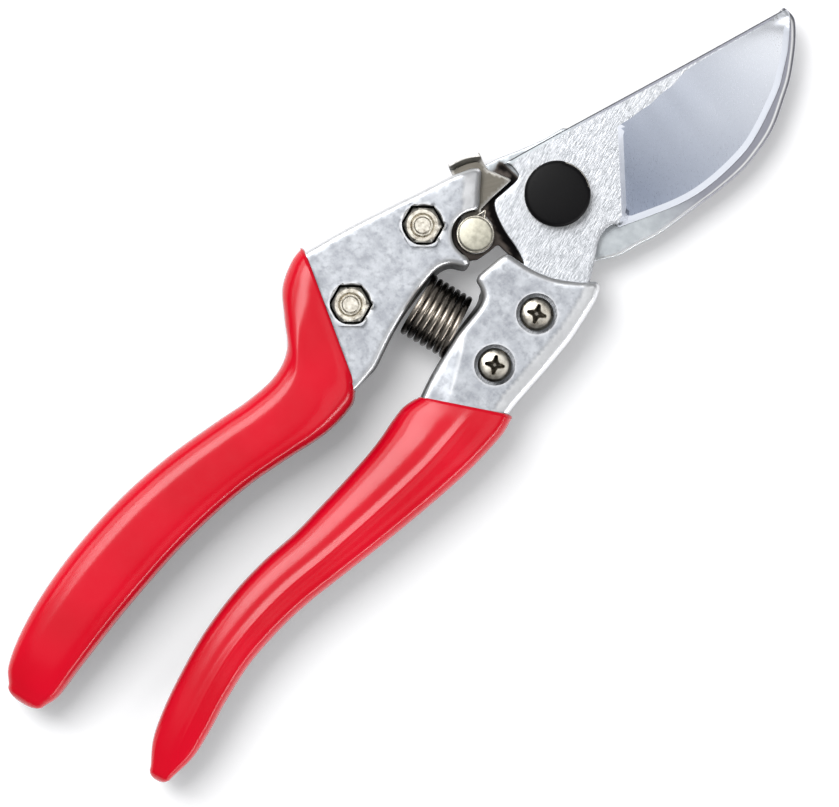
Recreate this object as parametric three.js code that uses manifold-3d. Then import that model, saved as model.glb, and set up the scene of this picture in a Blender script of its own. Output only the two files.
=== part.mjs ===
// Bypass pruning shears, lying flat and closed, blade tips toward +Y.
// Units are millimetres. The pivot axis is +Z through the origin and the end of the pivot bolt is z = 0.
import * as THREE from "three";
import { mergeVertices } from "three/addons/utils/BufferGeometryUtils.js";
import Module from "manifold-3d";

const wasm = await Module();
wasm.setup();

// Layers, from the resting plane up
const PARTING_PLANE = 8.5; // where the two blades slide on each other
const HOOK_PLATE_THICKNESS = 3.4;
const BLADE_THICKNESS = 3.0;
const EDGE_THICKNESS = 0.5;
const CASTING_BOTTOM = PARTING_PLANE - HOOK_PLATE_THICKNESS;
const HOOK_CASTING_TOP = PARTING_PLANE + 6.0;
const BLADE_CASTING_TOP = PARTING_PLANE + 6.5;
const CASTING_BEVEL = 0.7;
const GAP = 0.3; // clearance of a socket round what sits in it
const SLIP = 0.05; // clearance between faces that rest on each other

// Pivot
const BOLT_RADIUS = 4.0;
const BOLT_HEAD_RADIUS = 5.6;
const COLLAR_RADIUS = 6.9;
const COLLAR_HEIGHT = 1.1;
const CAP_RADIUS = 6.6;
const CAP_HEIGHT = 3.0;
const PIVOT_WASHER_RADIUS = 7.5;
const PIVOT_WASHER_HEIGHT = 0.9;
const PIVOT_NUT_FLATS = 12.0;
const PIVOT_NUT_HEIGHT = 3.2;
const HOOK_BOSS_RADIUS = 15.4;

// Handle fasteners
const SCREW_RADIUS = 2.0;
const SCREW_HEAD_RADIUS = 3.35;
const SCREW_HEAD_HEIGHT = 1.9;
const SCREW_RECESS_RADIUS = 3.7;
const SCREW_RECESS_DEPTH = 2.2;
const CROSS_ARM = 1.9;
const CROSS_WIDTH = 0.7;
const CROSS_DEPTH = 1.0;
const HANDLE_NUT_FLATS = 7.0;
const HANDLE_NUT_HEIGHT = 2.6;
const NUT_POCKET_RADIUS = 4.35;
const BLADE_SCREWS = { front: [13.35, -20.36, 27], rear: [14.2, -33.53, 33] };
const HOOK_SCREWS = { front: [-15.37, -23.02, 43], rear: [-15.06, -44.41, 43] };

// Latch
const LATCH_PIN = [-6.48, -17.06];
const LATCH_PIN_RADIUS = 1.6;
const LATCH_PIN_HEAD_RADIUS = 3.4;
const LATCH_PIN_HEAD_HEIGHT = 2.0;
const LATCH_PLATE_THICKNESS = 1.5;
const LATCH_TAB_HEIGHT = 4.0;
const LATCH_PIN_POCKET_RADIUS = 4.45;

// Main spring
const SPRING_COILS = 6.5;
const SPRING_RADIUS = 6.2; // to the middle of the wire
const SPRING_WIRE_RADIUS = 0.6;
const SPRING_LEFT = [-4.75, -34.9];
const SPRING_RIGHT = [3.6, -33.2];
const SPRING_LEFT_TILT = 9.0; // degrees that the first coil leans toward -X
const SPRING_RIGHT_TILT = 13.5;
const SPRING_PEG_RADIUS = 4.6;
const SPRING_PEG_LENGTH = 2.6;

// Grips
const GRIP_WALL = 1.8;
const GRIP_HEIGHT = 17.0;
const GRIP_RING_POINTS = 14;
const GRIP_RINGS = 20;

const finish = (color, roughness, metalness) => () =>
  new THREE.MeshStandardMaterial({ color, roughness, metalness });
const satinSteel = finish(0xc9c9cb, 0.32, 1.0);
const darkSteel = finish(0x5c5856, 0.45, 1.0);
const nickel = finish(0xb9b3a6, 0.28, 1.0);
const castAluminium = finish(0xb9b6ba, 0.5, 0.9);
const redVinyl = finish(0xe81a30, 0.3, 0.0);
const blackPlastic = finish(0x232225, 0.5, 0.0);

const vectors = (points) => points.map(([x, y]) => new THREE.Vector2(x, y));

/** Points of a smooth curve through the given points. */
function curve(points, steps) {
  return new THREE.SplineCurve(vectors(points)).getPoints(steps);
}

/** Points of an arc about a centre, from one angle to another, in degrees. */
function arc([x, y], radius, fromAngle, toAngle, steps) {
  const points = [];
  for (let i = 0; i <= steps; i += 1) {
    const angle = THREE.MathUtils.degToRad(fromAngle + ((toAngle - fromAngle) * i) / steps);
    points.push(new THREE.Vector2(x + radius * Math.cos(angle), y + radius * Math.sin(angle)));
  }
  return points;
}

/** A flat plate of the given outline between two heights, with bevelled rims if asked. */
function plate(outline, bottom, top, bevel = 0) {
  const geometry = new THREE.ExtrudeGeometry(new THREE.Shape(outline), {
    depth: top - bottom - 2 * bevel,
    bevelEnabled: bevel > 0,
    bevelSize: bevel,
    bevelThickness: bevel,
    bevelOffset: -bevel,
    bevelSegments: 2,
    curveSegments: 1,
  });
  return geometry.translate(0, 0, bottom + bevel);
}

/** An upright cylinder or cone frustum between two heights. */
function post([x, y], radius, bottom, top, segments = 32, topRadius = radius) {
  const geometry = new THREE.CylinderGeometry(topRadius, radius, top - bottom, segments);
  geometry.rotateX(Math.PI / 2);
  return geometry.translate(x, y, (bottom + top) / 2);
}

/** An upright hexagonal prism, sized across its flats and turned by an angle. */
function hexagon([x, y], acrossFlats, bottom, top, angle) {
  const outline = arc([x, y], acrossFlats / Math.sqrt(3), angle, angle + 300, 5);
  return plate(outline, bottom, top);
}

/** A solid turned about +Z from a profile of [radius, height] pairs that starts and ends on the axis. */
function turned([x, y], profile, segments = 32) {
  const geometry = new THREE.LatheGeometry(vectors(profile), segments);
  geometry.rotateX(Math.PI / 2);
  return geometry.translate(x, y, 0);
}

function solidOf(geometry) {
  const bare = geometry.clone();
  bare.deleteAttribute("normal");
  bare.deleteAttribute("uv");
  const welded = mergeVertices(bare, 1e-4);
  const index = welded.index.array;
  const kept = [];
  for (let i = 0; i < index.length; i += 3) {
    const [a, b, c] = [index[i], index[i + 1], index[i + 2]];
    if (a !== b && b !== c && a !== c) {
      kept.push(a, b, c);
    }
  }
  const mesh = new wasm.Mesh({
    numProp: 3,
    vertProperties: new Float32Array(welded.attributes.position.array),
    triVerts: new Uint32Array(kept),
  });
  mesh.merge();
  return new wasm.Manifold(mesh);
}

/** The first geometry with the added ones joined and then the removed ones cut away. */
function combine(base, { add = [], remove = [], keep = [] }) {
  let solid = solidOf(base);
  for (const geometry of add) {
    solid = solid.add(solidOf(geometry));
  }
  for (const geometry of remove) {
    solid = solid.subtract(solidOf(geometry));
  }
  for (const geometry of keep) {
    solid = solid.intersect(solidOf(geometry));
  }
  const result = solid.getMesh();
  const geometry = new THREE.BufferGeometry();
  geometry.setAttribute("position", new THREE.Float32BufferAttribute(result.vertProperties, 3));
  geometry.setIndex(Array.from(result.triVerts));
  geometry.computeVertexNormals();
  return geometry;
}

/** The two geometries' common part. */
function common(first, second) {
  return combine(first, { keep: [second] });
}

const parts = new THREE.Group();
parts.name = "pruning_shears";

function addPart(name, geometry, material) {
  const mesh = new THREE.Mesh(geometry, material());
  mesh.name = name;
  parts.add(mesh);
}

// ---------------------------------------------------------------- Grips

// Each station: [left x, y], [right x, y], height
const HOOK_GRIP_STATIONS = [
  [[-29.2, -42.9], [-2.6, -56.2], 12.6],
  [[-29.2, -46.6], [-1.2, -58.4], 15.0],
  [[-27.4, -51.2], [-0.8, -61.6], 16.6],
  [[-23.2, -55.2], [-0.9, -65.4], 17.0],
  [[-18.3, -59.6], [-1.6, -69.4], 17.0],
  [[-16.4, -65.2], [-2.7, -73.6], 17.0],
  [[-17.0, -72.5], [-4.0, -79.0], 17.0],
  [[-18.7, -80.0], [-5.2, -84.8], 17.0],
  [[-21.0, -91.8], [-6.3, -94.2], 17.0],
  [[-22.2, -104.0], [-6.7, -105.0], 17.0],
  [[-22.0, -117.0], [-6.3, -117.4], 16.6],
  [[-20.6, -128.5], [-5.6, -127.2], 15.8],
  [[-18.4, -137.5], [-4.8, -135.6], 14.2],
  [[-15.8, -143.8], [-4.2, -141.6], 11.4],
  [[-12.9, -147.4], [-5.2, -145.6], 7.6],
];
const BLADE_GRIP_STATIONS = [
  [[7.3, -48.9], [23.9, -38.6], 12.6],
  [[6.6, -52.2], [24.8, -42.2], 15.0],
  [[6.9, -55.8], [25.0, -46.8], 16.6],
  [[7.5, -59.6], [24.9, -52.6], 17.0],
  [[7.9, -64.0], [24.4, -58.8], 17.0],
  [[8.1, -70.4], [23.4, -67.4], 17.0],
  [[8.1, -77.8], [22.2, -76.2], 17.0],
  [[8.0, -85.2], [20.9, -84.6], 17.0],
  [[7.2, -93.8], [19.5, -94.0], 17.0],
  [[7.2, -102.6], [19.0, -102.2], 17.0],
  [[8.3, -112.2], [19.3, -110.6], 16.4],
  [[10.3, -120.8], [20.8, -118.8], 15.4],
  [[12.7, -128.6], [22.6, -125.8], 13.8],
  [[15.4, -134.8], [23.8, -132.0], 11.4],
  [[18.6, -138.6], [24.1, -136.8], 7.6],
];

/** A blunt-ended bar with rounded-square rings, lofted through stations and drawn in by an inset. */
function bar(stations, inset, rings, firstLift = 0) {
  const left = new THREE.SplineCurve(vectors(stations.map((station) => station[0])));
  const right = new THREE.SplineCurve(vectors(stations.map((station) => station[1])));
  const heights = new THREE.SplineCurve(vectors(stations.map((station, i) => [i, station[2]])));
  const reach = Math.abs(Math.cos(Math.PI / GRIP_RING_POINTS)) ** 0.8;
  const positions = [];
  for (let ring = 0; ring <= rings; ring += 1) {
    const t = ring / rings;
    const a = left.getPoint(t);
    const b = right.getPoint(t);
    const middle = a.clone().add(b).multiplyScalar(0.5);
    const half = b.clone().sub(a).multiplyScalar(0.5);
    const width = half.length();
    half.multiplyScalar((width - inset) / width);
    if (ring === 0) {
      const upward = new THREE.Vector2(-half.y, half.x).normalize();
      middle.addScaledVector(upward, firstLift);
    }
    const halfHeight = Math.min(heights.getPoint(t).y, GRIP_HEIGHT) / 2 - inset;
    for (let i = 0; i < GRIP_RING_POINTS; i += 1) {
      const angle = ((i + 0.5) / GRIP_RING_POINTS) * 2 * Math.PI;
      const across = Math.sign(Math.cos(angle)) * Math.abs(Math.cos(angle)) ** 0.8;
      const up = Math.sign(Math.sin(angle)) * Math.abs(Math.sin(angle)) ** 0.8;
      positions.push(
        middle.x + (half.x * across) / reach,
        middle.y + (half.y * across) / reach,
        PARTING_PLANE + (halfHeight * up) / reach,
      );
    }
  }
  const first = positions.length / 3;
  const centreOf = (ring) => {
    const sum = [0, 0, 0];
    for (let i = 0; i < GRIP_RING_POINTS; i += 1) {
      for (let k = 0; k < 3; k += 1) {
        sum[k] += positions[(ring * GRIP_RING_POINTS + i) * 3 + k] / GRIP_RING_POINTS;
      }
    }
    return sum;
  };
  const start = centreOf(0);
  const end = centreOf(rings);
  const before = centreOf(rings - 1);
  const along = new THREE.Vector2(end[0] - before[0], end[1] - before[1]).normalize();
  positions.push(...start);
  positions.push(end[0] + along.x * 0.9, end[1] + along.y * 0.9, end[2]);
  const index = [];
  for (let i = 0; i < GRIP_RING_POINTS; i += 1) {
    const next = (i + 1) % GRIP_RING_POINTS;
    for (let ring = 0; ring < rings; ring += 1) {
      const a = ring * GRIP_RING_POINTS + i;
      const b = ring * GRIP_RING_POINTS + next;
      index.push(a, b, a + GRIP_RING_POINTS);
      index.push(b, b + GRIP_RING_POINTS, a + GRIP_RING_POINTS);
    }
    index.push(next, i, first);
    index.push(rings * GRIP_RING_POINTS + i, rings * GRIP_RING_POINTS + next, first + 1);
  }
  const geometry = new THREE.BufferGeometry();
  geometry.setAttribute("position", new THREE.Float32BufferAttribute(positions, 3));
  geometry.setIndex(index);
  return geometry;
}

/** The bar of metal inside a grip, grown by a clearance where it is used to cut the grip's socket. */
function gripCore(stations, clearance) {
  return bar(stations.slice(0, -2), GRIP_WALL - clearance, GRIP_RINGS - 4, 3.0);
}

function grip(stations) {
  return combine(bar(stations, 0, GRIP_RINGS), { remove: [gripCore(stations, GAP)] });
}

addPart("hook_handle_grip", grip(HOOK_GRIP_STATIONS), redVinyl);
addPart("blade_handle_grip", grip(BLADE_GRIP_STATIONS), redVinyl);

// ---------------------------------------------------------------- Cutting blade

const bladeSpine = curve([[-11.6, -1.6], [-9.5, 5.0], [-5.2, 18.0], [1.9, 39.6], [7.75, 57.6]], 12);
const bladeTip = vectors([[8.2, 58.3], [9.2, 58.4]]);
const cuttingEdge = curve(
  [[11.5, 56.0], [16.1, 49.3], [19.6, 41.3], [21.5, 33.0], [21.6, 26.0], [20.7, 19.6], [17.4, 11.4], [13.4, 3.4]],
  26,
);
const ricasso = curve([[12.3, 3.6], [11.9, 0.6], [13.2, -2.6], [16.7, -8.3], [18.6, -13.5]], 8);
const bladeTang = vectors([
  [19.3, -20.0], [19.3, -33.0], [17.8, -38.0], [14.0, -39.4], [10.2, -38.0], [8.8, -33.0], [7.6, -24.0],
  [6.2, -17.6],
]);
const bladeBoss = curve([[4.5, -14.6], [0.9, -13.35], [-3.8, -12.2], [-7.4, -10.4], [-8.3, -9.3]], 8);
const notch = vectors([
  [-7.75, -4.2], [-7.8, -2.9], [-8.3, -2.35], [-10.1, -2.1], [-10.9, -2.0], [-11.5, -2.4], [-12.0, -2.95],
]);
const bladeOutline = [
  ...bladeSpine, ...bladeTip, ...cuttingEdge, ...ricasso, ...bladeTang, ...bladeBoss, ...notch,
].reverse();

// The ground face is a cone round the middle of the edge's arc, so the edge is thin all along.
const GRIND_CENTRE = [-19.1, 30.0];
const GRIND_RADIUS = 23.5;
const EDGE_RADIUS = 40.7;
const bladeTop = PARTING_PLANE + BLADE_THICKNESS;
const grindSlope = (BLADE_THICKNESS - EDGE_THICKNESS) / (EDGE_RADIUS - GRIND_RADIUS);
const grindCone = turned(GRIND_CENTRE, [
  [0, bladeTop + GRIND_RADIUS * grindSlope],
  [EDGE_RADIUS + 4, bladeTop - (EDGE_RADIUS + 4 - GRIND_RADIUS) * grindSlope],
  [EDGE_RADIUS + 4, bladeTop + 12],
  [0, bladeTop + 12],
], 48);
const grindField = plate(vectors([[-2.4, 19.9], [13.1, 5.5], [30.0, -12.0], [30.0, 70.0], [2.0, 70.0]]), 2, 30);
const bladeBlank = combine(plate(bladeOutline, PARTING_PLANE + SLIP, bladeTop), {
  remove: [
    common(grindCone, grindField),
    post([0, 0], BOLT_RADIUS + 0.2, 0, 20),
    post(BLADE_SCREWS.front, SCREW_RADIUS + 0.2, 0, 20, 24),
    post(BLADE_SCREWS.rear, SCREW_RADIUS + 0.2, 0, 20, 24),
  ],
});
addPart("cutting_blade", bladeBlank, satinSteel);

// ---------------------------------------------------------------- Counter blade

const hookOuter = curve(
  [[8.0, 58.75], [10.6, 58.3], [13.8, 55.3], [18.4, 48.7], [22.0, 41.0], [23.7, 33.0], [23.8, 27.0], [22.2, 18.0],
    [18.8, 4.1], [16.9, -1.4], [14.75, -4.4]],
  30,
);
const hookBossLower = arc([0, 0], HOOK_BOSS_RADIUS, -20, -97, 12);
const hookTang = vectors([
  [-2.1, -18.0], [-2.6, -20.6], [-5.2, -23.6], [-9.6, -27.0], [-10.4, -35.0], [-10.2, -44.0], [-11.6, -48.6],
  [-15.0, -50.2], [-18.6, -48.6], [-20.6, -44.0], [-21.0, -31.0], [-19.4, -20.0], [-16.8, -12.0],
]);
const hookBack = curve([[-15.0, -7.0], [-14.45, -5.2], [-13.45, -2.5], [-11.6, 1.35], [-9.4, 6.4]], 6);
const hookBossUpper = arc([0, 0], 13.4, 128, 66, 8);
const hookInner = curve([[9.1, 12.6], [12.6, 16.0], [15.3, 23.9], [16.4, 34.4], [13.9, 45.8], [7.6, 57.4]], 16);
const hookOutline = [...hookOuter, ...hookBossLower, ...hookTang, ...hookBack, ...hookBossUpper, ...hookInner];
const counterBlade = combine(plate(hookOutline.reverse(), CASTING_BOTTOM, PARTING_PLANE), {
  remove: [
    post([0, 0], BOLT_RADIUS + 0.2, 0, 20),
    post(LATCH_PIN, LATCH_PIN_RADIUS + 0.1, 0, 20, 24),
    post(HOOK_SCREWS.front, SCREW_RADIUS + 0.2, 0, 20, 24),
    post(HOOK_SCREWS.rear, SCREW_RADIUS + 0.2, 0, 20, 24),
  ],
});
addPart("counter_blade", counterBlade, darkSteel);

// ---------------------------------------------------------------- Latch

const latchOutline = [
  ...vectors([[-8.75, -4.25], [-9.55, -4.4]]),
  ...curve([[-11.75, -5.25], [-13.3, -5.9], [-15.2, -5.4], [-17.05, -4.6]], 5),
  ...curve([[-18.3, -6.05], [-19.2, -7.5], [-19.85, -9.1], [-20.2, -10.45]], 4),
  ...curve([[-18.5, -11.3], [-14.2, -12.9], [-11.2, -15.8], [-10.2, -18.6]], 6),
  ...arc(LATCH_PIN, 3.9, 205, 395, 12),
  ...vectors([[-5.4, -12.9], [-9.05, -12.7], [-9.0, -9.2], [-8.6, -4.8]]),
].reverse();
const latchBottom = PARTING_PLANE + 0.2;
const latchTop = latchBottom + LATCH_PLATE_THICKNESS;
const tabOutline = [
  ...curve([[-17.05, -4.6], [-18.3, -6.05], [-19.2, -7.5], [-19.85, -9.1], [-20.2, -10.45]], 6),
  ...curve([[-18.9, -10.9], [-18.2, -9.0], [-17.3, -7.4], [-16.0, -6.0]], 5),
].reverse();
const latchPlate = combine(plate(latchOutline, latchBottom, latchTop), {
  add: [plate(tabOutline, latchBottom, latchBottom + LATCH_TAB_HEIGHT)],
  remove: [post(LATCH_PIN, LATCH_PIN_RADIUS + 0.15, 0, 20, 24)],
});
addPart("latch_plate", latchPlate, satinSteel);

const pinHeadBottom = latchTop + 1.7;
const pinHeadTop = pinHeadBottom + LATCH_PIN_HEAD_HEIGHT;
addPart("latch_pin", turned(LATCH_PIN, [
  [0, CASTING_BOTTOM - 0.6],
  [2.4, CASTING_BOTTOM - 0.6],
  [2.4, CASTING_BOTTOM - SLIP],
  [LATCH_PIN_RADIUS, CASTING_BOTTOM - SLIP],
  [LATCH_PIN_RADIUS, pinHeadBottom],
  [LATCH_PIN_HEAD_RADIUS, pinHeadBottom],
  [LATCH_PIN_HEAD_RADIUS, pinHeadTop - 0.6],
  [LATCH_PIN_HEAD_RADIUS - 0.6, pinHeadTop],
  [0, pinHeadTop],
]), nickel);

/** A flat ring round an upright axis. */
function ring(centre, innerRadius, outerRadius, bottom, top, segments = 32) {
  return combine(post(centre, outerRadius, bottom, top, segments), {
    remove: [post(centre, innerRadius, bottom - 1, top + 1, segments)],
  });
}

const pinWasherTop = pinHeadBottom - SLIP;
addPart("latch_pin_washer", ring(LATCH_PIN, 1.75, 3.75, pinWasherTop - 0.4, pinWasherTop), nickel);

const latchSpringWire = new THREE.Shape(arc([0, 0], 0.4, 0, 288, 4));
const latchSpringPoints = [];
for (let i = 0; i <= 12; i += 1) {
  const angle = THREE.MathUtils.degToRad(100 + i * 27);
  latchSpringPoints.push(new THREE.Vector3(
    LATCH_PIN[0] + 2.3 * Math.cos(angle),
    LATCH_PIN[1] + 2.3 * Math.sin(angle),
    latchTop + 0.45 + 0.012 * i,
  ));
}
const latchSpringPath = new THREE.CatmullRomCurve3(latchSpringPoints);
addPart("latch_spring", new THREE.ExtrudeGeometry(latchSpringWire, {
  extrudePath: latchSpringPath,
  steps: 18,
  curveSegments: 1,
}), nickel);

// ---------------------------------------------------------------- Handle castings

const hookCastingOutline = [
  ...curve([[-28.4, -42.3], [-26.5, -35.4], [-23.5, -26.9], [-20.3, -18.5], [-17.9, -11.9], [-16.6, -9.3]], 8),
  ...vectors([[-15.4, -7.5], [-14.1, -7.3], [-13.1, -8.5], [-11.2, -10.8], [-9.6, -12.5]]),
  ...arc(LATCH_PIN, LATCH_PIN_POCKET_RADIUS, 130, 270, 9),
  ...vectors([[-4.7, -21.5], [-3.4, -21.8], [-3.1, -22.6]]),
  ...curve([[-4.1, -23.6], [-6.1, -24.9], [-7.2, -27.0], [-7.3, -30.0], [-6.4, -36.3], [-4.9, -43.7], [-3.0, -50.0],
    [-2.7, -55.5]], 12),
].reverse();
const hookTangRoom = vectors([
  [-1.6, -18.0], [-2.1, -21.0], [-4.9, -24.0], [-9.2, -27.2], [-10.0, -35.0], [-9.8, -44.1], [-11.3, -48.9],
  [-15.0, -50.6], [-18.9, -48.9], [-21.0, -44.1], [-21.4, -31.0], [-19.8, -19.9], [-17.2, -11.8], [-15.4, -6.6],
  [-8.0, -6.0], [-1.6, -12.0],
]).reverse();
const latchRoom = [
  ...vectors([[-4.6, -12.0], [-8.0, -6.0], [-14.0, -3.0], [-19.0, -5.0], [-21.8, -10.0], [-22.6, -18.0]]),
  ...vectors([[-20.3, -22.6], [-15.4, -20.4], [-11.6, -20.0]]),
  ...arc(LATCH_PIN, 4.4, 215, 330, 6),
].reverse();
/** A round peg that reaches sideways out of a casting into an end of the spring. */
function springPeg([x, y], tilt, fromDistance, toDistance) {
  const geometry = new THREE.CylinderGeometry(SPRING_PEG_RADIUS, SPRING_PEG_RADIUS, toDistance - fromDistance, 20);
  geometry.rotateZ(Math.PI / 2);
  geometry.translate((fromDistance + toDistance) / 2, 0, 0);
  geometry.rotateZ(THREE.MathUtils.degToRad(tilt));
  return geometry.translate(x, y, PARTING_PLANE);
}

const hookCasting = combine(plate(hookCastingOutline, CASTING_BOTTOM, HOOK_CASTING_TOP, CASTING_BEVEL), {
  add: [
    gripCore(HOOK_GRIP_STATIONS, 0),
    springPeg(SPRING_LEFT, SPRING_LEFT_TILT, -5.0, -SPRING_PEG_LENGTH + 3.4),
  ],
  remove: [
    plate(hookTangRoom, CASTING_BOTTOM - 5, PARTING_PLANE + SLIP),
    plate(latchRoom, PARTING_PLANE - 1, latchTop + 0.25),
    ...Object.values(HOOK_SCREWS).flatMap((place) => [
      post(place, SCREW_RADIUS + 0.2, 0, 20, 24),
      post(place, NUT_POCKET_RADIUS, PARTING_PLANE + 3.0, 20, 28),
    ]),
  ],
});
addPart("hook_handle_casting", hookCasting, castAluminium);

const bladeCastingOutline = [
  ...curve([[1.0, -15.75], [3.8, -15.3], [6.2, -14.8], [10.3, -13.3], [13.8, -11.05], [16.8, -8.4]], 8),
  ...vectors([[17.6, -7.6], [18.6, -7.6], [19.3, -8.4]]),
  ...curve([[20.2, -10.6], [21.0, -14.4], [21.8, -19.0], [22.3, -27.4], [22.6, -36.5], [23.3, -38.2]], 8),
  ...vectors([[7.9, -48.1]]),
  ...curve([[6.8, -44.5], [5.8, -40.2], [4.7, -34.4], [4.45, -30.4], [4.1, -27.2], [3.4, -25.4]], 8),
  ...vectors([[2.1, -24.4], [0.1, -23.8], [-0.4, -22.8], [0.0, -19.7], [0.35, -17.1]]),
].reverse();
const bladeTangRoom = vectors([
  [-9.0, -8.0], [-9.0, -12.5], [3.4, -15.2], [5.8, -17.7], [7.2, -24.1], [8.4, -33.1], [9.9, -38.3], [14.0, -39.8],
  [18.1, -38.3], [19.7, -33.1], [19.7, -20.0], [19.0, -13.4], [16.0, -5.0],
]);
const bladeCasting = combine(plate(bladeCastingOutline, CASTING_BOTTOM, BLADE_CASTING_TOP, CASTING_BEVEL), {
  add: [
    gripCore(BLADE_GRIP_STATIONS, 0),
    springPeg(SPRING_RIGHT, SPRING_RIGHT_TILT, SPRING_PEG_LENGTH - 3.4, 4.0),
  ],
  remove: [
    plate(bladeTangRoom, CASTING_BOTTOM - 5, bladeTop + SLIP),
    post([0, 0], HOOK_BOSS_RADIUS + 0.8, 0, PARTING_PLANE + 0.3, 64),
    ...Object.values(BLADE_SCREWS).flatMap((place) => [
      post(place, SCREW_RADIUS + 0.2, 0, 20, 24),
      post(place, SCREW_RECESS_RADIUS, BLADE_CASTING_TOP - SCREW_RECESS_DEPTH, 20, 28),
    ]),
  ],
});
addPart("blade_handle_casting", bladeCasting, castAluminium);

// ---------------------------------------------------------------- Handle screws and nuts

/** A pan-head screw standing on its thread end, with a cross recess turned by an angle. */
function panHeadScrew([x, y, angle], headBottom, threadEnd) {
  const direction = Math.sign(headBottom - threadEnd);
  const height = (distance) => headBottom + direction * distance;
  const profile = [
    [0, threadEnd],
    [SCREW_RADIUS, threadEnd],
    [SCREW_RADIUS, headBottom],
    [SCREW_HEAD_RADIUS, headBottom],
    [SCREW_HEAD_RADIUS, height(SCREW_HEAD_HEIGHT - 0.9)],
    [SCREW_HEAD_RADIUS - 0.6, height(SCREW_HEAD_HEIGHT - 0.2)],
    [SCREW_HEAD_RADIUS - 1.3, height(SCREW_HEAD_HEIGHT)],
    [0, height(SCREW_HEAD_HEIGHT)],
  ];
  const body = turned([0, 0], direction > 0 ? profile : profile.reverse(), 28);
  const arm = (turn) => {
    const box = new THREE.BoxGeometry(2 * CROSS_ARM, CROSS_WIDTH, 2 * CROSS_DEPTH);
    box.rotateZ(THREE.MathUtils.degToRad(angle + turn));
    return box.translate(0, 0, height(SCREW_HEAD_HEIGHT));
  };
  return combine(body, { remove: [arm(0), arm(90)] }).translate(x, y, 0);
}

/** A hexagon nut with its bore. */
function hexNut(place, acrossFlats, boreRadius, bottom, top) {
  return combine(hexagon(place, acrossFlats, bottom, top, place[2]), {
    remove: [post(place, boreRadius, bottom - 1, top + 1, 24)],
  });
}

for (const [where, place] of Object.entries(BLADE_SCREWS)) {
  const seat = BLADE_CASTING_TOP - SCREW_RECESS_DEPTH + SLIP;
  const nutTop = PARTING_PLANE - SLIP;
  addPart(`blade_screw_${where}`, panHeadScrew(place, seat, CASTING_BOTTOM), nickel);
  addPart(`blade_nut_${where}`, hexNut(place, HANDLE_NUT_FLATS, SCREW_RADIUS + 0.1,
    nutTop - HANDLE_NUT_HEIGHT, nutTop), nickel);
}
for (const [where, place] of Object.entries(HOOK_SCREWS)) {
  const seat = CASTING_BOTTOM - SLIP;
  const nutBottom = PARTING_PLANE + 3.0 + SLIP;
  addPart(`hook_screw_${where}`, panHeadScrew(place, seat, HOOK_CASTING_TOP - 0.1), nickel);
  addPart(`hook_nut_${where}`, hexNut(place, HANDLE_NUT_FLATS, SCREW_RADIUS + 0.1,
    nutBottom, nutBottom + HANDLE_NUT_HEIGHT), nickel);
}

// ---------------------------------------------------------------- Pivot

const collarTop = bladeTop + SLIP + COLLAR_HEIGHT;
addPart("pivot_collar", ring([0, 0], BOLT_RADIUS + 0.2, COLLAR_RADIUS, bladeTop + SLIP, collarTop, 40), nickel);
const headTop = collarTop + SLIP + 1.4;
addPart("pivot_bolt", turned([0, 0], [
  [0, 0],
  [BOLT_RADIUS - 0.5, 0],
  [BOLT_RADIUS, 0.5],
  [BOLT_RADIUS, collarTop + SLIP],
  [BOLT_HEAD_RADIUS, collarTop + SLIP],
  [BOLT_HEAD_RADIUS, headTop],
  [0, headTop],
], 32), nickel);
const capBottom = collarTop + 0.1;
addPart("pivot_cap", turned([0, 0], [
  [0, headTop + 0.15],
  [BOLT_HEAD_RADIUS + 0.15, headTop + 0.15],
  [BOLT_HEAD_RADIUS + 0.15, capBottom],
  [CAP_RADIUS, capBottom],
  [CAP_RADIUS, capBottom + CAP_HEIGHT - 1.2],
  [CAP_RADIUS - 0.5, capBottom + CAP_HEIGHT - 0.6],
  [CAP_RADIUS - 1.6, capBottom + CAP_HEIGHT - 0.25],
  [CAP_RADIUS - 3.6, capBottom + CAP_HEIGHT],
  [0, capBottom + CAP_HEIGHT],
], 40), blackPlastic);

const washerTop = CASTING_BOTTOM - SLIP;
const washerBottom = washerTop - PIVOT_WASHER_HEIGHT;
addPart("pivot_washer", ring([0, 0], BOLT_RADIUS + 0.15, PIVOT_WASHER_RADIUS, washerBottom, washerTop, 40), nickel);
addPart("pivot_nut", hexNut([0, 0, 15], PIVOT_NUT_FLATS, BOLT_RADIUS + 0.1,
  washerBottom - SLIP - PIVOT_NUT_HEIGHT, washerBottom - SLIP), nickel);

// ---------------------------------------------------------------- Main spring

/** Wire path of a short coil whose first and last turns lean by different angles. */
function springPath() {
  const points = [];
  const perCoil = 12;
  for (let i = 0; i <= SPRING_COILS * perCoil; i += 1) {
    const t = i / (SPRING_COILS * perCoil);
    const tilt = THREE.MathUtils.degToRad(THREE.MathUtils.lerp(SPRING_LEFT_TILT, SPRING_RIGHT_TILT, t));
    const turn = (i / perCoil) * 2 * Math.PI;
    const x = THREE.MathUtils.lerp(SPRING_LEFT[0], SPRING_RIGHT[0], t);
    const y = THREE.MathUtils.lerp(SPRING_LEFT[1], SPRING_RIGHT[1], t);
    const inPlane = SPRING_RADIUS * Math.cos(turn);
    points.push(new THREE.Vector3(
      x - inPlane * Math.sin(tilt),
      y + inPlane * Math.cos(tilt),
      PARTING_PLANE + SPRING_RADIUS * Math.sin(turn),
    ));
  }
  return new THREE.CatmullRomCurve3(points);
}

addPart("main_spring", new THREE.ExtrudeGeometry(
  new THREE.Shape(arc([0, 0], SPRING_WIRE_RADIUS, 0, 300, 5)),
  { extrudePath: springPath(), steps: SPRING_COILS * 12, curveSegments: 1 },
), nickel);

export default parts;
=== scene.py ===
"""Bypass pruning shears, closed and lying flat: shapes, finishes, light and camera.

Shapes are worked out in millimetres in the part's own frame: +Z up, +Y towards the blade tips,
the pivot axis through the origin and the parting plane of the two blades at PARTING_PLANE.
"""

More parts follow.
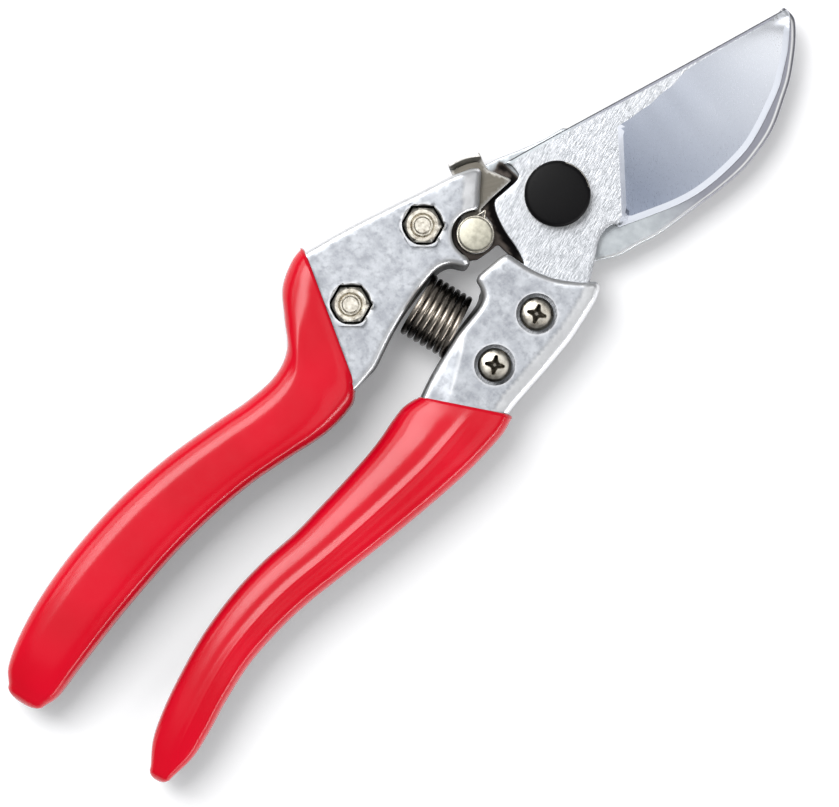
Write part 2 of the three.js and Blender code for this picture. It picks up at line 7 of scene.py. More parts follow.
import logging
import math
from dataclasses import dataclass, field
from enum import Enum, IntEnum
from typing import Callable, Optional, Sequence

import bmesh
import bpy
import numpy as np
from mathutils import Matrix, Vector
from mathutils.geometry import delaunay_2d_cdt

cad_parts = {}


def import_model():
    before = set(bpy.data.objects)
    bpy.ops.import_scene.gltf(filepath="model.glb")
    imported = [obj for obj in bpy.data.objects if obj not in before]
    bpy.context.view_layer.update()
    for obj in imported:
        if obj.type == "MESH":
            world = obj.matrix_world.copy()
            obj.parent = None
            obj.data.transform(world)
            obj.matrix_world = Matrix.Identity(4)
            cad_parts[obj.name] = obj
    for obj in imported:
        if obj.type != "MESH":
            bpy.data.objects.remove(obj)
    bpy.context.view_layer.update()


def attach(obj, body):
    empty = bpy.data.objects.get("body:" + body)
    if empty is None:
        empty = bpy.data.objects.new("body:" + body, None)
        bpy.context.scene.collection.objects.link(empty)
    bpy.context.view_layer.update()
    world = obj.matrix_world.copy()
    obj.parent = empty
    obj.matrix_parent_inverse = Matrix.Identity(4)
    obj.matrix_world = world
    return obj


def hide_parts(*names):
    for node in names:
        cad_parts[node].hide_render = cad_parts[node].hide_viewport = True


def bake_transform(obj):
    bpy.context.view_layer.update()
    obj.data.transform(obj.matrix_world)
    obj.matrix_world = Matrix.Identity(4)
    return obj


Array = np.ndarray
Points = Sequence[Sequence[float]]
Relief = Callable[[Array], Array]

MM = 0.001
PARTING_PLANE = 8.5
BLADE_TOP = 11.5
HOOK_BOTTOM = 5.1
HOOK_CASTING_TOP = 14.5
BLADE_CASTING_TOP = 15.0
LATCH_PIN = (-6.48, -17.06)
BLADE_SCREWS = ((13.35, -20.36), (14.2, -33.53))
HOOK_SCREWS = ((-15.37, -23.02), (-15.06, -44.41))
WELD_DISTANCE = 2e-6
SLIVER_LENGTH = 1e-6
NOISE_SPAN = (0.3, 0.7)

log = logging.getLogger("shears")


class Body(Enum):
    """The rigid bodies of the shears."""

    HOOK_SIDE = "hook_side"
    BLADE_SIDE = "blade_side"
    LATCH = "latch"


class BladeFace(IntEnum):
    """Material slots of the cutting blade."""

    FORGED = 0
    GROUND = 1
    HONED_HIGHLIGHT = 2
    CHAMFER = 3
    CORNER = 4


# ------------------------------------------------------------------ curves in the plane


def smooth_curve(points: Points, count: int) -> Array:
    """Run a Catmull-Rom curve through points, with count samples.

    Each span is the cubic whose end slopes are half the difference of the neighbouring points.

    Args:
        points: corner points in two or three dimensions.
        count: number of samples along the whole curve.

    Returns:
        One row per sample.
    """
    p = np.asarray(points, float)
    wide = np.vstack([2 * p[0] - p[1], p, 2 * p[-1] - p[-2]])
    t = np.linspace(0, len(p) - 1, count)
    i = np.minimum(t.astype(int), len(p) - 2)
    f = (t - i)[:, None]
    a, b, c, d = (wide[i + k] for k in range(4))
    return 0.5 * (2 * b + (c - a) * f + (2 * a - 5 * b + 4 * c - d) * f**2 + (3 * b - a - 3 * c + d) * f**3)


def arc(centre: Sequence[float], radius: float, start: float, end: float, count: int) -> Array:
    """Points of a circular arc between two angles in degrees.

    Args:
        centre: middle of the circle.
        radius: its radius.
        start: first angle.
        end: last angle.
        count: number of points.

    Returns:
        One row per point.
    """
    angle = np.radians(np.linspace(start, end, count))
    return np.c_[centre[0] + radius * np.cos(angle), centre[1] + radius * np.sin(angle)]


def closed_loop(stretches: Sequence[Points], spacing: float, soften: float) -> Array:
    """Join stretches into one closed counter-clockwise loop with even spacing and soft corners.

    The loop is resampled by arc length and its corners are rounded by damping each Fourier
    component of the loop as a Gaussian of the given width does.

    Args:
        stretches: polylines in order round the loop.
        spacing: distance between neighbouring points.
        soften: width of the Gaussian.

    Returns:
        One row per point of the loop.
    """
    p = np.vstack([np.asarray(stretch, float) for stretch in stretches])
    q = np.vstack([p, p[:1]])
    area = np.sum(q[:-1, 0] * q[1:, 1] - q[1:, 0] * q[:-1, 1])
    q = q if area > 0 else q[::-1]
    length = np.r_[0, np.cumsum(np.hypot(*np.diff(q, axis=0).T))]
    count = int(length[-1] / spacing)
    s = np.linspace(0, length[-1], count, endpoint=False)
    z = np.interp(s, length, q[:, 0]) + 1j * np.interp(s, length, q[:, 1])
    frequency = np.fft.fftfreq(count, length[-1] / count)
    z = np.fft.ifft(np.fft.fft(z) * np.exp(-2 * (math.pi * frequency * soften) ** 2))
    return np.c_[z.real, z.imag]


def shifted(line: Array, distance: Array) -> Array:
    """Move each point of an open line to the right of its direction by its own distance."""
    z = line[:, 0] + 1j * line[:, 1]
    along = np.gradient(z)
    z = z - 1j * along / np.abs(along) * distance
    return np.c_[z.real, z.imag]


def inset(loop: Array, distance: float) -> Array:
    """Move a counter-clockwise loop inwards, or outwards where the distance is negative.

    Every point goes along its normal in a few small steps, and each step ends with a light
    average with the neighbours so that tight corners do not fold.

    Args:
        loop: points of the loop.
        distance: how far to move.

    Returns:
        The moved loop, with the same number of points.
    """
    if distance == 0:
        return loop
    steps = 4
    z = loop[:, 0] + 1j * loop[:, 1]
    for _ in range(steps):
        tangent = np.roll(z, -1) - np.roll(z, 1)
        z = z + 1j * tangent / np.abs(tangent) * distance / steps
        z = 0.7 * z + 0.15 * (np.roll(z, 1) + np.roll(z, -1))
    return np.c_[z.real, z.imag]


def distance_to(line: Points, points: Array) -> Array:
    """Distance of each point from a polyline: the least distance to any of its segments."""
    line = np.asarray(line, float)
    a, ab = line[:-1][None], np.diff(line, axis=0)[None]
    ap = points[:, None, :2] - a
    t = np.clip((ap * ab).sum(2) / np.maximum((ab**2).sum(2), 1e-12), 0, 1)
    return np.hypot(*np.moveaxis(ap - t[..., None] * ab, 2, 0)).min(1)


def inside(loop: Array, points: Array) -> Array:
    """Tell which points lie inside a loop: a ray to the right crosses it an odd number of times."""
    a, b = loop[None], np.roll(loop, -1, axis=0)[None]
    x, y = points[:, None, 0], points[:, None, 1]
    spans = (a[..., 1] > y) != (b[..., 1] > y)
    rise = np.where(b[..., 1] == a[..., 1], 1.0, b[..., 1] - a[..., 1])
    crossing = a[..., 0] + (y - a[..., 1]) * (b[..., 0] - a[..., 0]) / rise
    return (spans & (x < crossing)).sum(1) % 2 == 1


def smoothstep(low: float, high: float, value: Array) -> Array:
    """Rise from 0 to 1 between low and high with level ends."""
    t = np.clip((value - low) / (high - low), 0, 1)
    return t * t * (3 - 2 * t)


# ------------------------------------------------------------------ meshes


@dataclass
class Shell:
    """Vertices in millimetres and faces of a piece under construction."""

    verts: Array
    faces: list[tuple[int, ...]]

    def __add__(self, other: "Shell") -> "Shell":
        """Put two shells into one."""
        shift = len(self.verts)
        moved = [tuple(i + shift for i in face) for face in other.faces]
        return Shell(np.vstack([self.verts, other.verts]), self.faces + moved)

    def moved(self, offset: Sequence[float], turn: float) -> "Shell":
        """The shell turned about +Z by an angle in degrees and then shifted."""
        c, s = math.cos(math.radians(turn)), math.sin(math.radians(turn))
        spin = np.array([[c, -s, 0], [s, c, 0], [0, 0, 1]])
        return Shell(self.verts @ spin.T + np.asarray(offset, float), self.faces)

    def flipped(self) -> "Shell":
        """The shell with its faces turned over."""
        return Shell(self.verts, [face[::-1] for face in self.faces])


def grid_faces(rows: int, columns: int) -> list[tuple[int, ...]]:
    """Quads between neighbouring rings of a grid whose rows are closed rings of columns points."""
    i, j = np.meshgrid(np.arange(rows - 1), np.arange(columns), indexing="ij")
    k = (j + 1) % columns
    quads = np.stack([i * columns + j, i * columns + k, (i + 1) * columns + k, (i + 1) * columns + j], -1)
    return [tuple(quad) for quad in quads.reshape(-1, 4).tolist()]


def rings_shell(rings: Array) -> Shell:
    """Skin a stack of rings and close both ends with a fan to the ring's middle.

    Args:
        rings: array of shape rows, columns, 3.

    Returns:
        The closed skin, whose last two vertices are the middles of the first and last ring.
    """
    rows, columns = rings.shape[:2]
    first, last = rows * columns, (rows - 1) * columns
    around = np.arange(columns)
    pairs = list(zip(around.tolist(), ((around + 1) % columns).tolist()))
    faces = grid_faces(rows, columns)
    faces += [(first, b, a) for a, b in pairs]
    faces += [(first + 1, last + a, last + b) for a, b in pairs]
    return Shell(np.vstack([rings.reshape(-1, 3), rings[0].mean(0)[None], rings[-1].mean(0)[None]]), faces)


def turned(centre: Sequence[float], profile: Points, count: int) -> Shell:
    """Turn a profile about an upright axis.

    A point at radius r and height h goes round the circle of radius r at that height. The profile
    runs from low to high and starts and ends on the axis.

    Args:
        centre: where the axis stands.
        profile: pairs of radius and height.
        count: points round the axis.

    Returns:
        The closed skin.
    """
    p = np.asarray(profile, float)
    angle = np.linspace(0, 2 * math.pi, count, endpoint=False)[None]
    r, h = p[1:-1, :1], p[1:-1, 1:]
    rings = np.stack([centre[0] + r * np.cos(angle), centre[1] + r * np.sin(angle), h + 0 * angle], -1)
    shell = rings_shell(rings)
    shell.verts[-2] = (centre[0], centre[1], p[0, 1])
    shell.verts[-1] = (centre[0], centre[1], p[-1, 1])
    return shell


def rounded(bottom: float, top: float, low: float, high: float, steps: int) -> list[tuple[float, float]]:
    """Profile of a plate's rim, with a quarter-circle at the bottom and one at the top.

    Args:
        bottom: height of the lower face.
        top: height of the upper face.
        low: radius of the lower quarter-circle.
        high: radius of the upper one.
        steps: segments in each.

    Returns:
        Pairs of inset and height from the lower face round to the upper one.
    """
    angle = np.linspace(0, math.pi / 2, steps + 1)
    lower = np.c_[low * (1 - np.sin(angle)), bottom + low * (1 - np.cos(angle))]
    upper = np.c_[high * (1 - np.cos(angle)), top - high * (1 - np.sin(angle))]
    return [tuple(pair) for pair in np.vstack([lower, upper]).tolist()]


def fill(ring: Array, features: Sequence[Points], spacing: float) -> tuple[Array, list[tuple[int, ...]]]:
    """Triangulate the inside of a loop, with points on a hexagonal grid and edges along features.

    Args:
        ring: the loop.
        features: polylines that edges must follow.
        spacing: distance between grid points.

    Returns:
        Flat points, and triangles that turn counter-clockwise.
    """
    low, high = ring.min(0), ring.max(0)
    x, y = np.meshgrid(np.arange(low[0], high[0], spacing), np.arange(low[1], high[1], spacing * 0.866))
    x = x + spacing / 2 * (np.arange(len(x)) % 2)[:, None]
    grid = np.c_[x.ravel(), y.ravel()]
    grid = grid[inside(ring, grid)]
    grid = grid[distance_to(np.vstack([ring, ring[:1]]), grid) > 0.45 * spacing]
    points, edges = [ring], [(i, (i + 1) % len(ring)) for i in range(len(ring))]
    total = len(ring)
    for line in features:
        line = np.asarray(line, float)
        grid = grid[distance_to(line, grid) > 0.35 * spacing]
        points.append(line)
        edges += [(total + i, total + i + 1) for i in range(len(line) - 1)]
        total += len(line)
    points.append(grid)
    flat = [Vector(p) for p in np.vstack(points).tolist()]
    verts, _, faces, *_ = delaunay_2d_cdt(flat, edges, [], 0, 1e-5)
    v = np.array([tuple(p) for p in verts])
    f = np.array([tuple(face) for face in faces])
    f = f[inside(ring, v[f].mean(1))]
    return v, [tuple(face) for face in f.tolist()]


def plate(
    loop: Array,
    profile: Sequence[tuple[float, float]],
    relief: Optional[Relief] = None,
    features: Sequence[Points] = (),
    spacing: float = 2.5,
    draft: Optional[Array] = None,
) -> Shell:
    """A closed plate whose rim follows a profile and whose upper face may have a relief.

    A point of the rim lies on the loop moved in by the profile's inset, at the profile's height.
    Points of the upper half are lowered by the relief at their place.

    Args:
        loop: outline of the plate.
        profile: pairs of inset and height from the lower face to the upper.
        relief: how far the upper face sinks at each flat point.
        features: polylines that the upper face's edges follow.
        spacing: size of the upper face's triangles.
        draft: how far the wall's foot stands out at each point of the loop.

    Returns:
        The closed plate.
    """
    bottom, top = profile[0][1], profile[-1][1]
    rings = np.stack([np.c_[inset(loop, d), np.full(len(loop), h)] for d, h in profile])
    if draft is not None:
        along = np.roll(loop, -1, axis=0) - np.roll(loop, 1, axis=0)
        outward = np.c_[along[:, 1], -along[:, 0]] / np.linalg.norm(along, axis=1, keepdims=True)
        share = np.clip((top - 1.0 - rings[..., 2]) / (top - bottom - 1.0), 0, 1)
        rings[..., :2] += (share * draft)[..., None] * outward
    skin = Shell(rings.reshape(-1, 3), grid_faces(len(rings), len(loop)))
    v, f = fill(rings[-1][:, :2], features, spacing)
    upper = Shell(np.c_[v, np.full(len(v), top)], f)
    v, f = fill(rings[0][:, :2], (), max(spacing, 2.5))
    lower = Shell(np.c_[v, np.full(len(v), bottom)], f).flipped()
    whole = skin + upper
    if relief is not None:
        high = whole.verts[:, 2] > 0.5 * (bottom + top)
        whole.verts[high, 2] -= relief(whole.verts[high, :2])
    return whole + lower


def tube(path: Array, radius: float, reference: Array, sides: int) -> Shell:
    """Carry a circle along a path and round its ends off.

    The circle at each point lies across the path's direction, and its first axis is the reference
    direction with its part along the path taken out.

    Args:
        path: one row per point.
        radius: the circle's radius.
        reference: a direction that is nowhere along the path.
        sides: points round the circle.

    Returns:
        The closed tube.
    """
    along = np.gradient(path, axis=0)
    along /= np.linalg.norm(along, axis=1, keepdims=True)
    first = reference - (along * reference).sum(1, keepdims=True) * along
    first /= np.linalg.norm(first, axis=1, keepdims=True)
    second = np.cross(along, first)
    turn = np.radians(np.array([75.0, 45.0, 15.0]))
    start = path[0] - along[0] * radius * np.sin(turn)[:, None]
    end = path[-1] + along[-1] * radius * np.sin(turn[::-1])[:, None]
    centres = np.vstack([start, path, end])
    width = radius * np.r_[np.cos(turn), np.ones(len(path)), np.cos(turn[::-1])]
    rows = np.r_[[0] * 3, np.arange(len(path)), [len(path) - 1] * 3]
    angle = np.linspace(0, 2 * math.pi, sides, endpoint=False)[None, :, None]
    across = np.cos(angle) * first[rows][:, None] + np.sin(angle) * second[rows][:, None]
    return rings_shell(centres[:, None] + width[:, None, None] * across)


def make_piece(name: str, shell: Shell, sharp: float = 35.0) -> bpy.types.Object:
    """Turn a shell into a smooth-shaded object with merged vertices and outward faces.

    Args:
        name: the object's name.
        shell: its shape in millimetres.
        sharp: edges with a larger angle than this, in degrees, stay sharp.

    Returns:
        The object, at the origin.
    """
    mesh = bpy.data.meshes.new(name)
    mesh.from_pydata((shell.verts * MM).tolist(), [], shell.faces)
    work = bmesh.new()
    work.from_mesh(mesh)
    bmesh.ops.remove_doubles(work, verts=work.verts, dist=WELD_DISTANCE)
    bmesh.ops.dissolve_degenerate(work, edges=work.edges, dist=SLIVER_LENGTH)
    bmesh.ops.recalc_face_normals(work, faces=work.faces)
    work.to_mesh(mesh)
    work.free()
    shade(mesh, sharp)
    piece = bpy.data.objects.new(name, mesh)
    bpy.context.scene.collection.objects.link(piece)
    return piece


def shade(mesh: bpy.types.Mesh, sharp: float) -> None:
    """Shade a mesh smooth except across edges with a larger angle than sharp degrees."""
    mesh.polygons.foreach_set("use_smooth", np.ones(len(mesh.polygons), bool))
    mesh.set_sharp_from_angle(angle=math.radians(sharp))
    mesh.update()


def cut(piece: bpy.types.Object, cutters: Sequence[Shell], sharp: float) -> None:
    """Cut closed shells out of a piece and keep the result as its mesh.

    Args:
        piece: the object to cut.
        cutters: the shells to take away, one after another.
        sharp: edges with a larger angle than this, in degrees, stay sharp.
    """
    for i, shell in enumerate(cutters):
        cutter = make_piece(f"{piece.name}_cutter_{i}", shell)
        modifier = piece.modifiers.new("cut", "BOOLEAN")
        modifier.object = cutter
        modifier.solver = "EXACT"
        graph = bpy.context.evaluated_depsgraph_get()
        result = bpy.data.meshes.new_from_object(piece.evaluated_get(graph))
        piece.modifiers.clear()
        old = piece.data
        result.name = f"{piece.name}_{i}"
        piece.data = result
        bpy.data.meshes.remove(old)
        waste = cutter.data
        bpy.data.objects.remove(cutter)
        bpy.data.meshes.remove(waste)
    shade(piece.data, sharp)


def point_values(piece: bpy.types.Object, name: str, value: Callable[[Array], Array]) -> None:
    """Store a number at each vertex, worked out from the vertex positions in millimetres."""
    mesh = piece.data
    co = np.empty(len(mesh.vertices) * 3, np.float32)
    mesh.vertices.foreach_get("co", co)
    layer = mesh.attributes.new(name, "FLOAT", "POINT")
    layer.data.foreach_set("value", value(co.reshape(-1, 3) / MM).astype(np.float32))


def place(
    piece: bpy.types.Object,
    body: Body,
    slot: str,
    material: bpy.types.Material,
    *nodes: str,
) -> None:
    """Dress a piece and tell the frame what it rides on and which nodes it stands for.

    Args:
        piece: the finished object.
        body: the body that carries it.
        slot: the record's material slot; not used.
        material: its finish, put first in its slots.
        nodes: the CAD nodes that it replaces.
    """
    if len(piece.data.materials):
        piece.data.materials[0] = material
    else:
        piece.data.materials.append(material)
    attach(piece, body.value)
    if nodes:
        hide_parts(*nodes)
    log.info("%s: %d faces, rides on %s", piece.name, len(piece.data.polygons), body.value)


# ------------------------------------------------------------------ finishes


def linear(colour: str) -> tuple[float, float, float, float]:
    """Turn an sRGB hex colour into the linear values that shaders use."""
    values = [int(colour[i : i + 2], 16) / 255 for i in (1, 3, 5)]
    r, g, b = (v / 12.92 if v <= 0.04045 else ((v + 0.055) / 1.055) ** 2.4 for v in values)
    return (r, g, b, 1.0)


class Graph:
    """A material's node tree with its Principled shader and Object coordinates."""

    def __init__(self, name: str) -> None:
        """Start a material of the given name."""
        self.material = bpy.data.materials.new(name)
        self.material.use_nodes = True
        self.tree = self.material.node_tree
        self.shader = self.tree.nodes["Principled BSDF"]
        self.coordinates = self.add("ShaderNodeTexCoord").outputs["Object"]

    def add(self, kind: str, settings: Optional[dict] = None, **inputs: object) -> bpy.types.Node:
        """Add a node.

        Args:
            kind: the node's type.
            settings: values of its own properties.
            inputs: sockets by name or, as in_0, by number; each is a value or another node's output.

        Returns:
            The node.
        """
        node = self.tree.nodes.new(kind)
        for key, value in (settings or {}).items():
            setattr(node, key, value)
        for key, value in inputs.items():
            self.put(node, int(key[3:]) if key.startswith("in_") else key, value)
        return node

    def put(self, node: bpy.types.Node, socket: object, value: object) -> None:
        """Set or link one input socket of a node."""
        target = node.inputs[socket]
        if isinstance(value, bpy.types.NodeSocket):
            self.tree.links.new(value, target)
        else:
            target.default_value = value

    def noise(self, size_mm: float, detail: float = 3.0, roughness: float = 0.55) -> bpy.types.NodeSocket:
        """Noise whose largest blobs are about the given size."""
        node = self.add("ShaderNodeTexNoise", Vector=self.coordinates, Scale=1.0 / (size_mm * MM))
        self.put(node, "Detail", detail)
        self.put(node, "Roughness", roughness)
        return node.outputs[0]

    def streaks(self, size: Sequence[float], turn: float, detail: float = 2.0) -> bpy.types.NodeSocket:
        """Noise stretched along a direction in the XY plane.

        Args:
            size: length and width of a streak in millimetres.
            turn: the streaks' direction from +X, in degrees.
            detail: octaves of the noise.

        Returns:
            The noise's output.
        """
        mapping = self.add("ShaderNodeMapping", {"vector_type": "TEXTURE"}, Vector=self.coordinates)
        self.put(mapping, "Rotation", (0.0, 0.0, math.radians(turn)))
        self.put(mapping, "Scale", (size[0] * MM, size[1] * MM, size[1] * MM))
        node = self.add("ShaderNodeTexNoise", Vector=mapping.outputs[0], Scale=1.0)
        self.put(node, "Detail", detail)
        return node.outputs[0]

    def scaled(
        self, value: bpy.types.NodeSocket, low: float, high: float, start: float = 0.0, end: float = 1.0
    ) -> bpy.types.NodeSocket:
        """Map a value from the range start to end onto the range low to high, clamped."""
        node = self.add("ShaderNodeMapRange", Value=value)
        for socket, number in (("From Min", start), ("From Max", end), ("To Min", low), ("To Max", high)):
            self.put(node, socket, number)
        return node.outputs[0]

    def spread(self, noise: bpy.types.NodeSocket, low: float, high: float) -> bpy.types.NodeSocket:
        """Map the range that a noise's values are mostly in onto the range low to high."""
        return self.scaled(noise, low, high, *NOISE_SPAN)

    def mixed(self, factor: object, first: object, second: object) -> bpy.types.NodeSocket:
        """Mix two colours."""
        node = self.add("ShaderNodeMix", {"data_type": "RGBA"}, in_0=factor, in_6=first, in_7=second)
        return node.outputs[2]

    def total(self, first: object, second: object, kind: str = "ADD") -> bpy.types.NodeSocket:
        """Join two numbers by a Math operation."""
        return self.add("ShaderNodeMath", {"operation": kind}, in_0=first, in_1=second).outputs[0]

    def attribute(self, name: str) -> bpy.types.NodeSocket:
        """Read a number stored on the mesh."""
        return self.add("ShaderNodeAttribute", {"attribute_name": name}).outputs["Fac"]

    def bump(self, height: bpy.types.NodeSocket, depth_mm: float, strength: float) -> None:
        """Raise the shader's surface by a height map of the given depth."""
        node = self.add("ShaderNodeBump", Height=height, Distance=depth_mm * MM, Strength=strength)
        self.put(self.shader, "Normal", node.outputs[0])

    def dress(self, **values: object) -> bpy.types.Material:
        """Set the shader's inputs, with spaces written as underscores, and return the material."""
        for key, value in values.items():
            self.put(self.shader, key.replace("_", " "), value)
        return self.material


@dataclass(frozen=True)
class ForgedChromedSteel:
    """Drop-forged carbon steel under hard chrome: pale, satin, with a fine cloth-like blast grain."""

    light: str = "#c9cbcf"
    dark: str = "#94979b"
    grain_mm: float = 0.45
    stroke_mm: tuple[float, float] = (1.15, 0.2)

    def build(self) -> bpy.types.Material:
        """Make the material."""
        g = Graph("forged_chromed_steel")
        weave = g.streaks(self.stroke_mm, 104.0)
        grain = g.noise(self.grain_mm)
        both = g.total(g.total(weave, 0.7, "MULTIPLY"), g.total(grain, 0.3, "MULTIPLY"))
        tint = g.mixed(g.scaled(both, 0.0, 1.0, 0.36, 0.62), linear(self.dark), linear(self.light))
        g.bump(both, 0.07, 0.8)
        return g.dress(Base_Color=tint, Metallic=1.0, Roughness=g.spread(grain, 0.34, 0.46))


@dataclass(frozen=True)
class HollowGroundSteel:
    """Hardened steel off a fine grinding wheel: near mirror, with faint scratches across the edge, and a
    painted reflection that lightens it toward the tip.
    """

    colour: str = "#a3acbf"
    # light colour of the painted reflection at the tip
    tip_sheen_colour: str = "#dcdfe5"
    scratch_mm: tuple[float, float] = (9.0, 0.08)

    def build(self) -> bpy.types.Material:
        """Make the material."""
        g = Graph("hollow_ground_steel")
        scratch = g.streaks(self.scratch_mm, -38.0)
        along = g.add("ShaderNodeSeparateXYZ", in_0=g.coordinates).outputs[1]
        # painted reflection: the ground face lightens from y 12 mm to y 54 mm toward the tip, with a little
        # random haze on top
        haze_and_tip_sheen = g.total(g.scaled(g.noise(16.0, 1.0), -0.12, 0.12), g.scaled(along, 0.0, 1.0, 0.012, 0.054))
        tint = g.mixed(haze_and_tip_sheen, linear(self.colour), linear(self.tip_sheen_colour))
        g.bump(scratch, 0.004, 0.35)
        return g.dress(
            Base_Color=tint,
            Metallic=g.scaled(haze_and_tip_sheen, 1.0, 0.72),
            Roughness=g.spread(scratch, 0.26, 0.34),
        )


@dataclass(frozen=True)
class HonedEdge:
    """Freshly honed steel: the narrow bevel at the cutting edge, bright and slightly diffuse; its near-white
    colour is partly painted highlight, and the plunge's shoulder takes it as painted highlight.
    """

    colour: str = "#dfe3ec"

    def build(self) -> bpy.types.Material:
        """Make the material."""
        g = Graph("honed_edge_highlight")
        scratch = g.streaks((1.2, 0.07), 20.0)
        return g.dress(
            Base_Color=linear(self.colour), Metallic=0.3, Roughness=g.spread(scratch, 0.4, 0.5)
        )


@dataclass(frozen=True)
class CounterBladeSteel:
    """Forged counter blade, chromed then tumbled: grey satin, with painted shade past the heel, painted shade
    and some grease round the latch, and a painted highlight on the bevel's crest.
    """

    light: str = "#b3b8bb"
    dark: str = "#a3a8ac"
    # darker grey of the painted shade past the heel
    strip_shade: str = "#85868f"
    # white of the painted highlight on the bevel's crest
    crest: str = "#ffffff"
    # warm grey of the painted shade, with some grease, over the latch's corner
    grease: str = "#4a4440"
    # near black of the painted shadow along the blade's boss
    boss_shadow: str = "#0d0c0c"

    def build(self) -> bpy.types.Material:
        """Make the material."""
        g = Graph("counter_blade_steel")
        cloud = g.noise(2.2)
        fine = g.noise(0.35)
        tint = g.mixed(g.scaled(cloud, 0.0, 1.0, 0.35, 0.65), linear(self.dark), linear(self.light))
        along = g.add("ShaderNodeSeparateXYZ", in_0=g.coordinates).outputs[1]
        # painted shade: the finish darkens from y 8 mm to y 20 mm, which keeps the strip beside the cutting
        # blade dark
        tint = g.mixed(g.scaled(along, 0.0, 1.0, 0.008, 0.02), tint, linear(self.strip_shade))
        # painted highlight: white along the bevel's crest
        tint = g.mixed(g.attribute("rim"), tint, linear(self.crest))
        grease = g.attribute("grease")
        # painted shade with some grease round the latch: warm grey at half strength, near black along the
        # blade's boss
        tint = g.mixed(g.scaled(grease, 0.0, 1.0, 0.0, 0.5), tint, linear(self.grease))
        tint = g.mixed(g.scaled(grease, 0.0, 1.0, 0.5, 1.0), tint, linear(self.boss_shadow))
        g.bump(fine, 0.02, 0.4)
        return g.dress(Base_Color=tint, Metallic=1.0, Roughness=g.spread(fine, 0.3, 0.42))


@dataclass(frozen=True)
class SpineEdgeShade:
    """Painted shade: dark grey steel along the very corner of the blade's spine."""

    colour: str = "#55575b"

    def build(self) -> bpy.types.Material:
        """Make the material."""
        g = Graph("spine_edge_shade")
        rough = g.spread(g.noise(0.6), 0.6, 0.75)
        return g.dress(Base_Color=linear(self.colour), Metallic=0.3, Roughness=rough)


@dataclass(frozen=True)
class DieCastAluminium:
    """Die-cast and vibratory-finished aluminium: cloudy cool grey skin, rims rubbed smoother and whitened as
    painted highlight, and painted shade on the recess walls.
    """

    light: str = "#b7babf"
    cloud: str = "#9da0a6"
    stain: str = "#85888e"
    # white of the painted highlight on the rims
    rim: str = "#ffffff"
    # near black of the painted shade on the recess walls
    painted_shade: str = "#141312"
    cloud_mm: float = 3.6
    skin_mm: float = 0.5

    def build(self) -> bpy.types.Material:
        """Make the material."""
        g = Graph("die_cast_aluminium")
        clouds = g.noise(self.cloud_mm, 4.0, 0.62)
        stains = g.noise(1.3, 3.0, 0.6)
        skin = g.noise(self.skin_mm, 4.0, 0.6)
        tint = g.mixed(g.scaled(clouds, 0.0, 1.0, 0.36, 0.62), linear(self.cloud), linear(self.light))
        tint = g.mixed(g.scaled(stains, 0.0, 0.6, 0.48, 0.7), tint, linear(self.stain))
        rim = g.attribute("rim")
        # painted highlight, with some rubbed wear: white along the rims, the soft edges and the crease
        tint = g.mixed(rim, tint, linear(self.rim))
        # painted shade: near black on the walls of the recesses, the pin's pocket and the spring's bay
        tint = g.mixed(g.attribute("painted_shade"), tint, linear(self.painted_shade))
        g.bump(skin, 0.03, 0.5)
        dull = g.total(g.scaled(clouds, 0.50, 0.40, 0.35, 0.65), g.scaled(rim, 0.0, 0.12), "SUBTRACT")
        return g.dress(Base_Color=tint, Metallic=0.88, Roughness=dull)


@dataclass(frozen=True)
class DippedVinyl:
    """Plastisol vinyl dipped over the handle and cured: thick, glossy, soft-edged clear red.

    Rays that have bounced see the bounce colour, which keeps the steel nearby from turning pink.
    """

    colour: str = "#d70022"
    deep: str = "#ce001d"
    bounce: str = "#5d5657"

    def build(self) -> bpy.types.Material:
        """Make the material."""
        g = Graph("dipped_red_vinyl")
        sag = g.noise(14.0, 1.0, 0.4)
        peel = g.noise(2.4, 2.0, 0.5)
        tint = g.mixed(g.scaled(sag, 0.0, 1.0, 0.35, 0.65), linear(self.deep), linear(self.colour))
        ray = g.add("ShaderNodeLightPath").outputs
        bounced = g.total(ray["Is Diffuse Ray"], ray["Is Glossy Ray"])
        tint = g.mixed(bounced, tint, linear(self.bounce))
        g.bump(peel, 0.02, 0.25)
        return g.dress(
            Base_Color=tint,
            Roughness=g.spread(peel, 0.19, 0.23),
            IOR=1.5,
            Specular_IOR_Level=0.36,
        )


@dataclass(frozen=True)
class NickelPlate:
    """Bright nickel over turned steel: warm, a little worn and cloudy, with a very fine grain."""

    light: str = "#dcd8cd"
    dark: str = "#b3ac9f"
    # dark of the painted shade that a piece may mark, such as a screw's cross recess
    painted_shade: str = "#1d1917"
    rough: float = 0.24

    def build(self, name: str = "nickel_plate") -> bpy.types.Material:
        """Make the material."""
        g = Graph(name)
        bloom = g.noise(1.1, 4.0, 0.6)
        tint = g.mixed(g.scaled(bloom, 0.0, 1.0, 0.35, 0.65), linear(self.dark), linear(self.light))
        # painted shade where the mesh marks it: the screws' cross recesses
        tint = g.mixed(g.attribute("painted_shade"), tint, linear(self.painted_shade))
        g.bump(g.noise(0.25), 0.012, 0.4)
        rough = g.spread(bloom, self.rough, self.rough + 0.14)
        return g.dress(Base_Color=tint, Metallic=1.0, Roughness=rough)


@dataclass(frozen=True)
class SpringWire:
    """Hard-drawn spring wire, with painted shade, near black, at the sides of the coil and plain along its
    middle.
    """

    colour: str = "#9c948a"
    # near black of the painted shade at the coil's sides
    side_shade: str = "#171412"

    def build(self) -> bpy.types.Material:
        """Make the material."""
        g = Graph("blackened_spring_wire")
        drawn = g.noise(1.5, 1.0)
        # painted shade: the wire darkens towards the sides of the coil
        tint = g.mixed(g.attribute("painted_shade"), linear(self.colour), linear(self.side_shade))
        return g.dress(Base_Color=tint, Metallic=1.0, Roughness=g.spread(drawn, 0.24, 0.32))


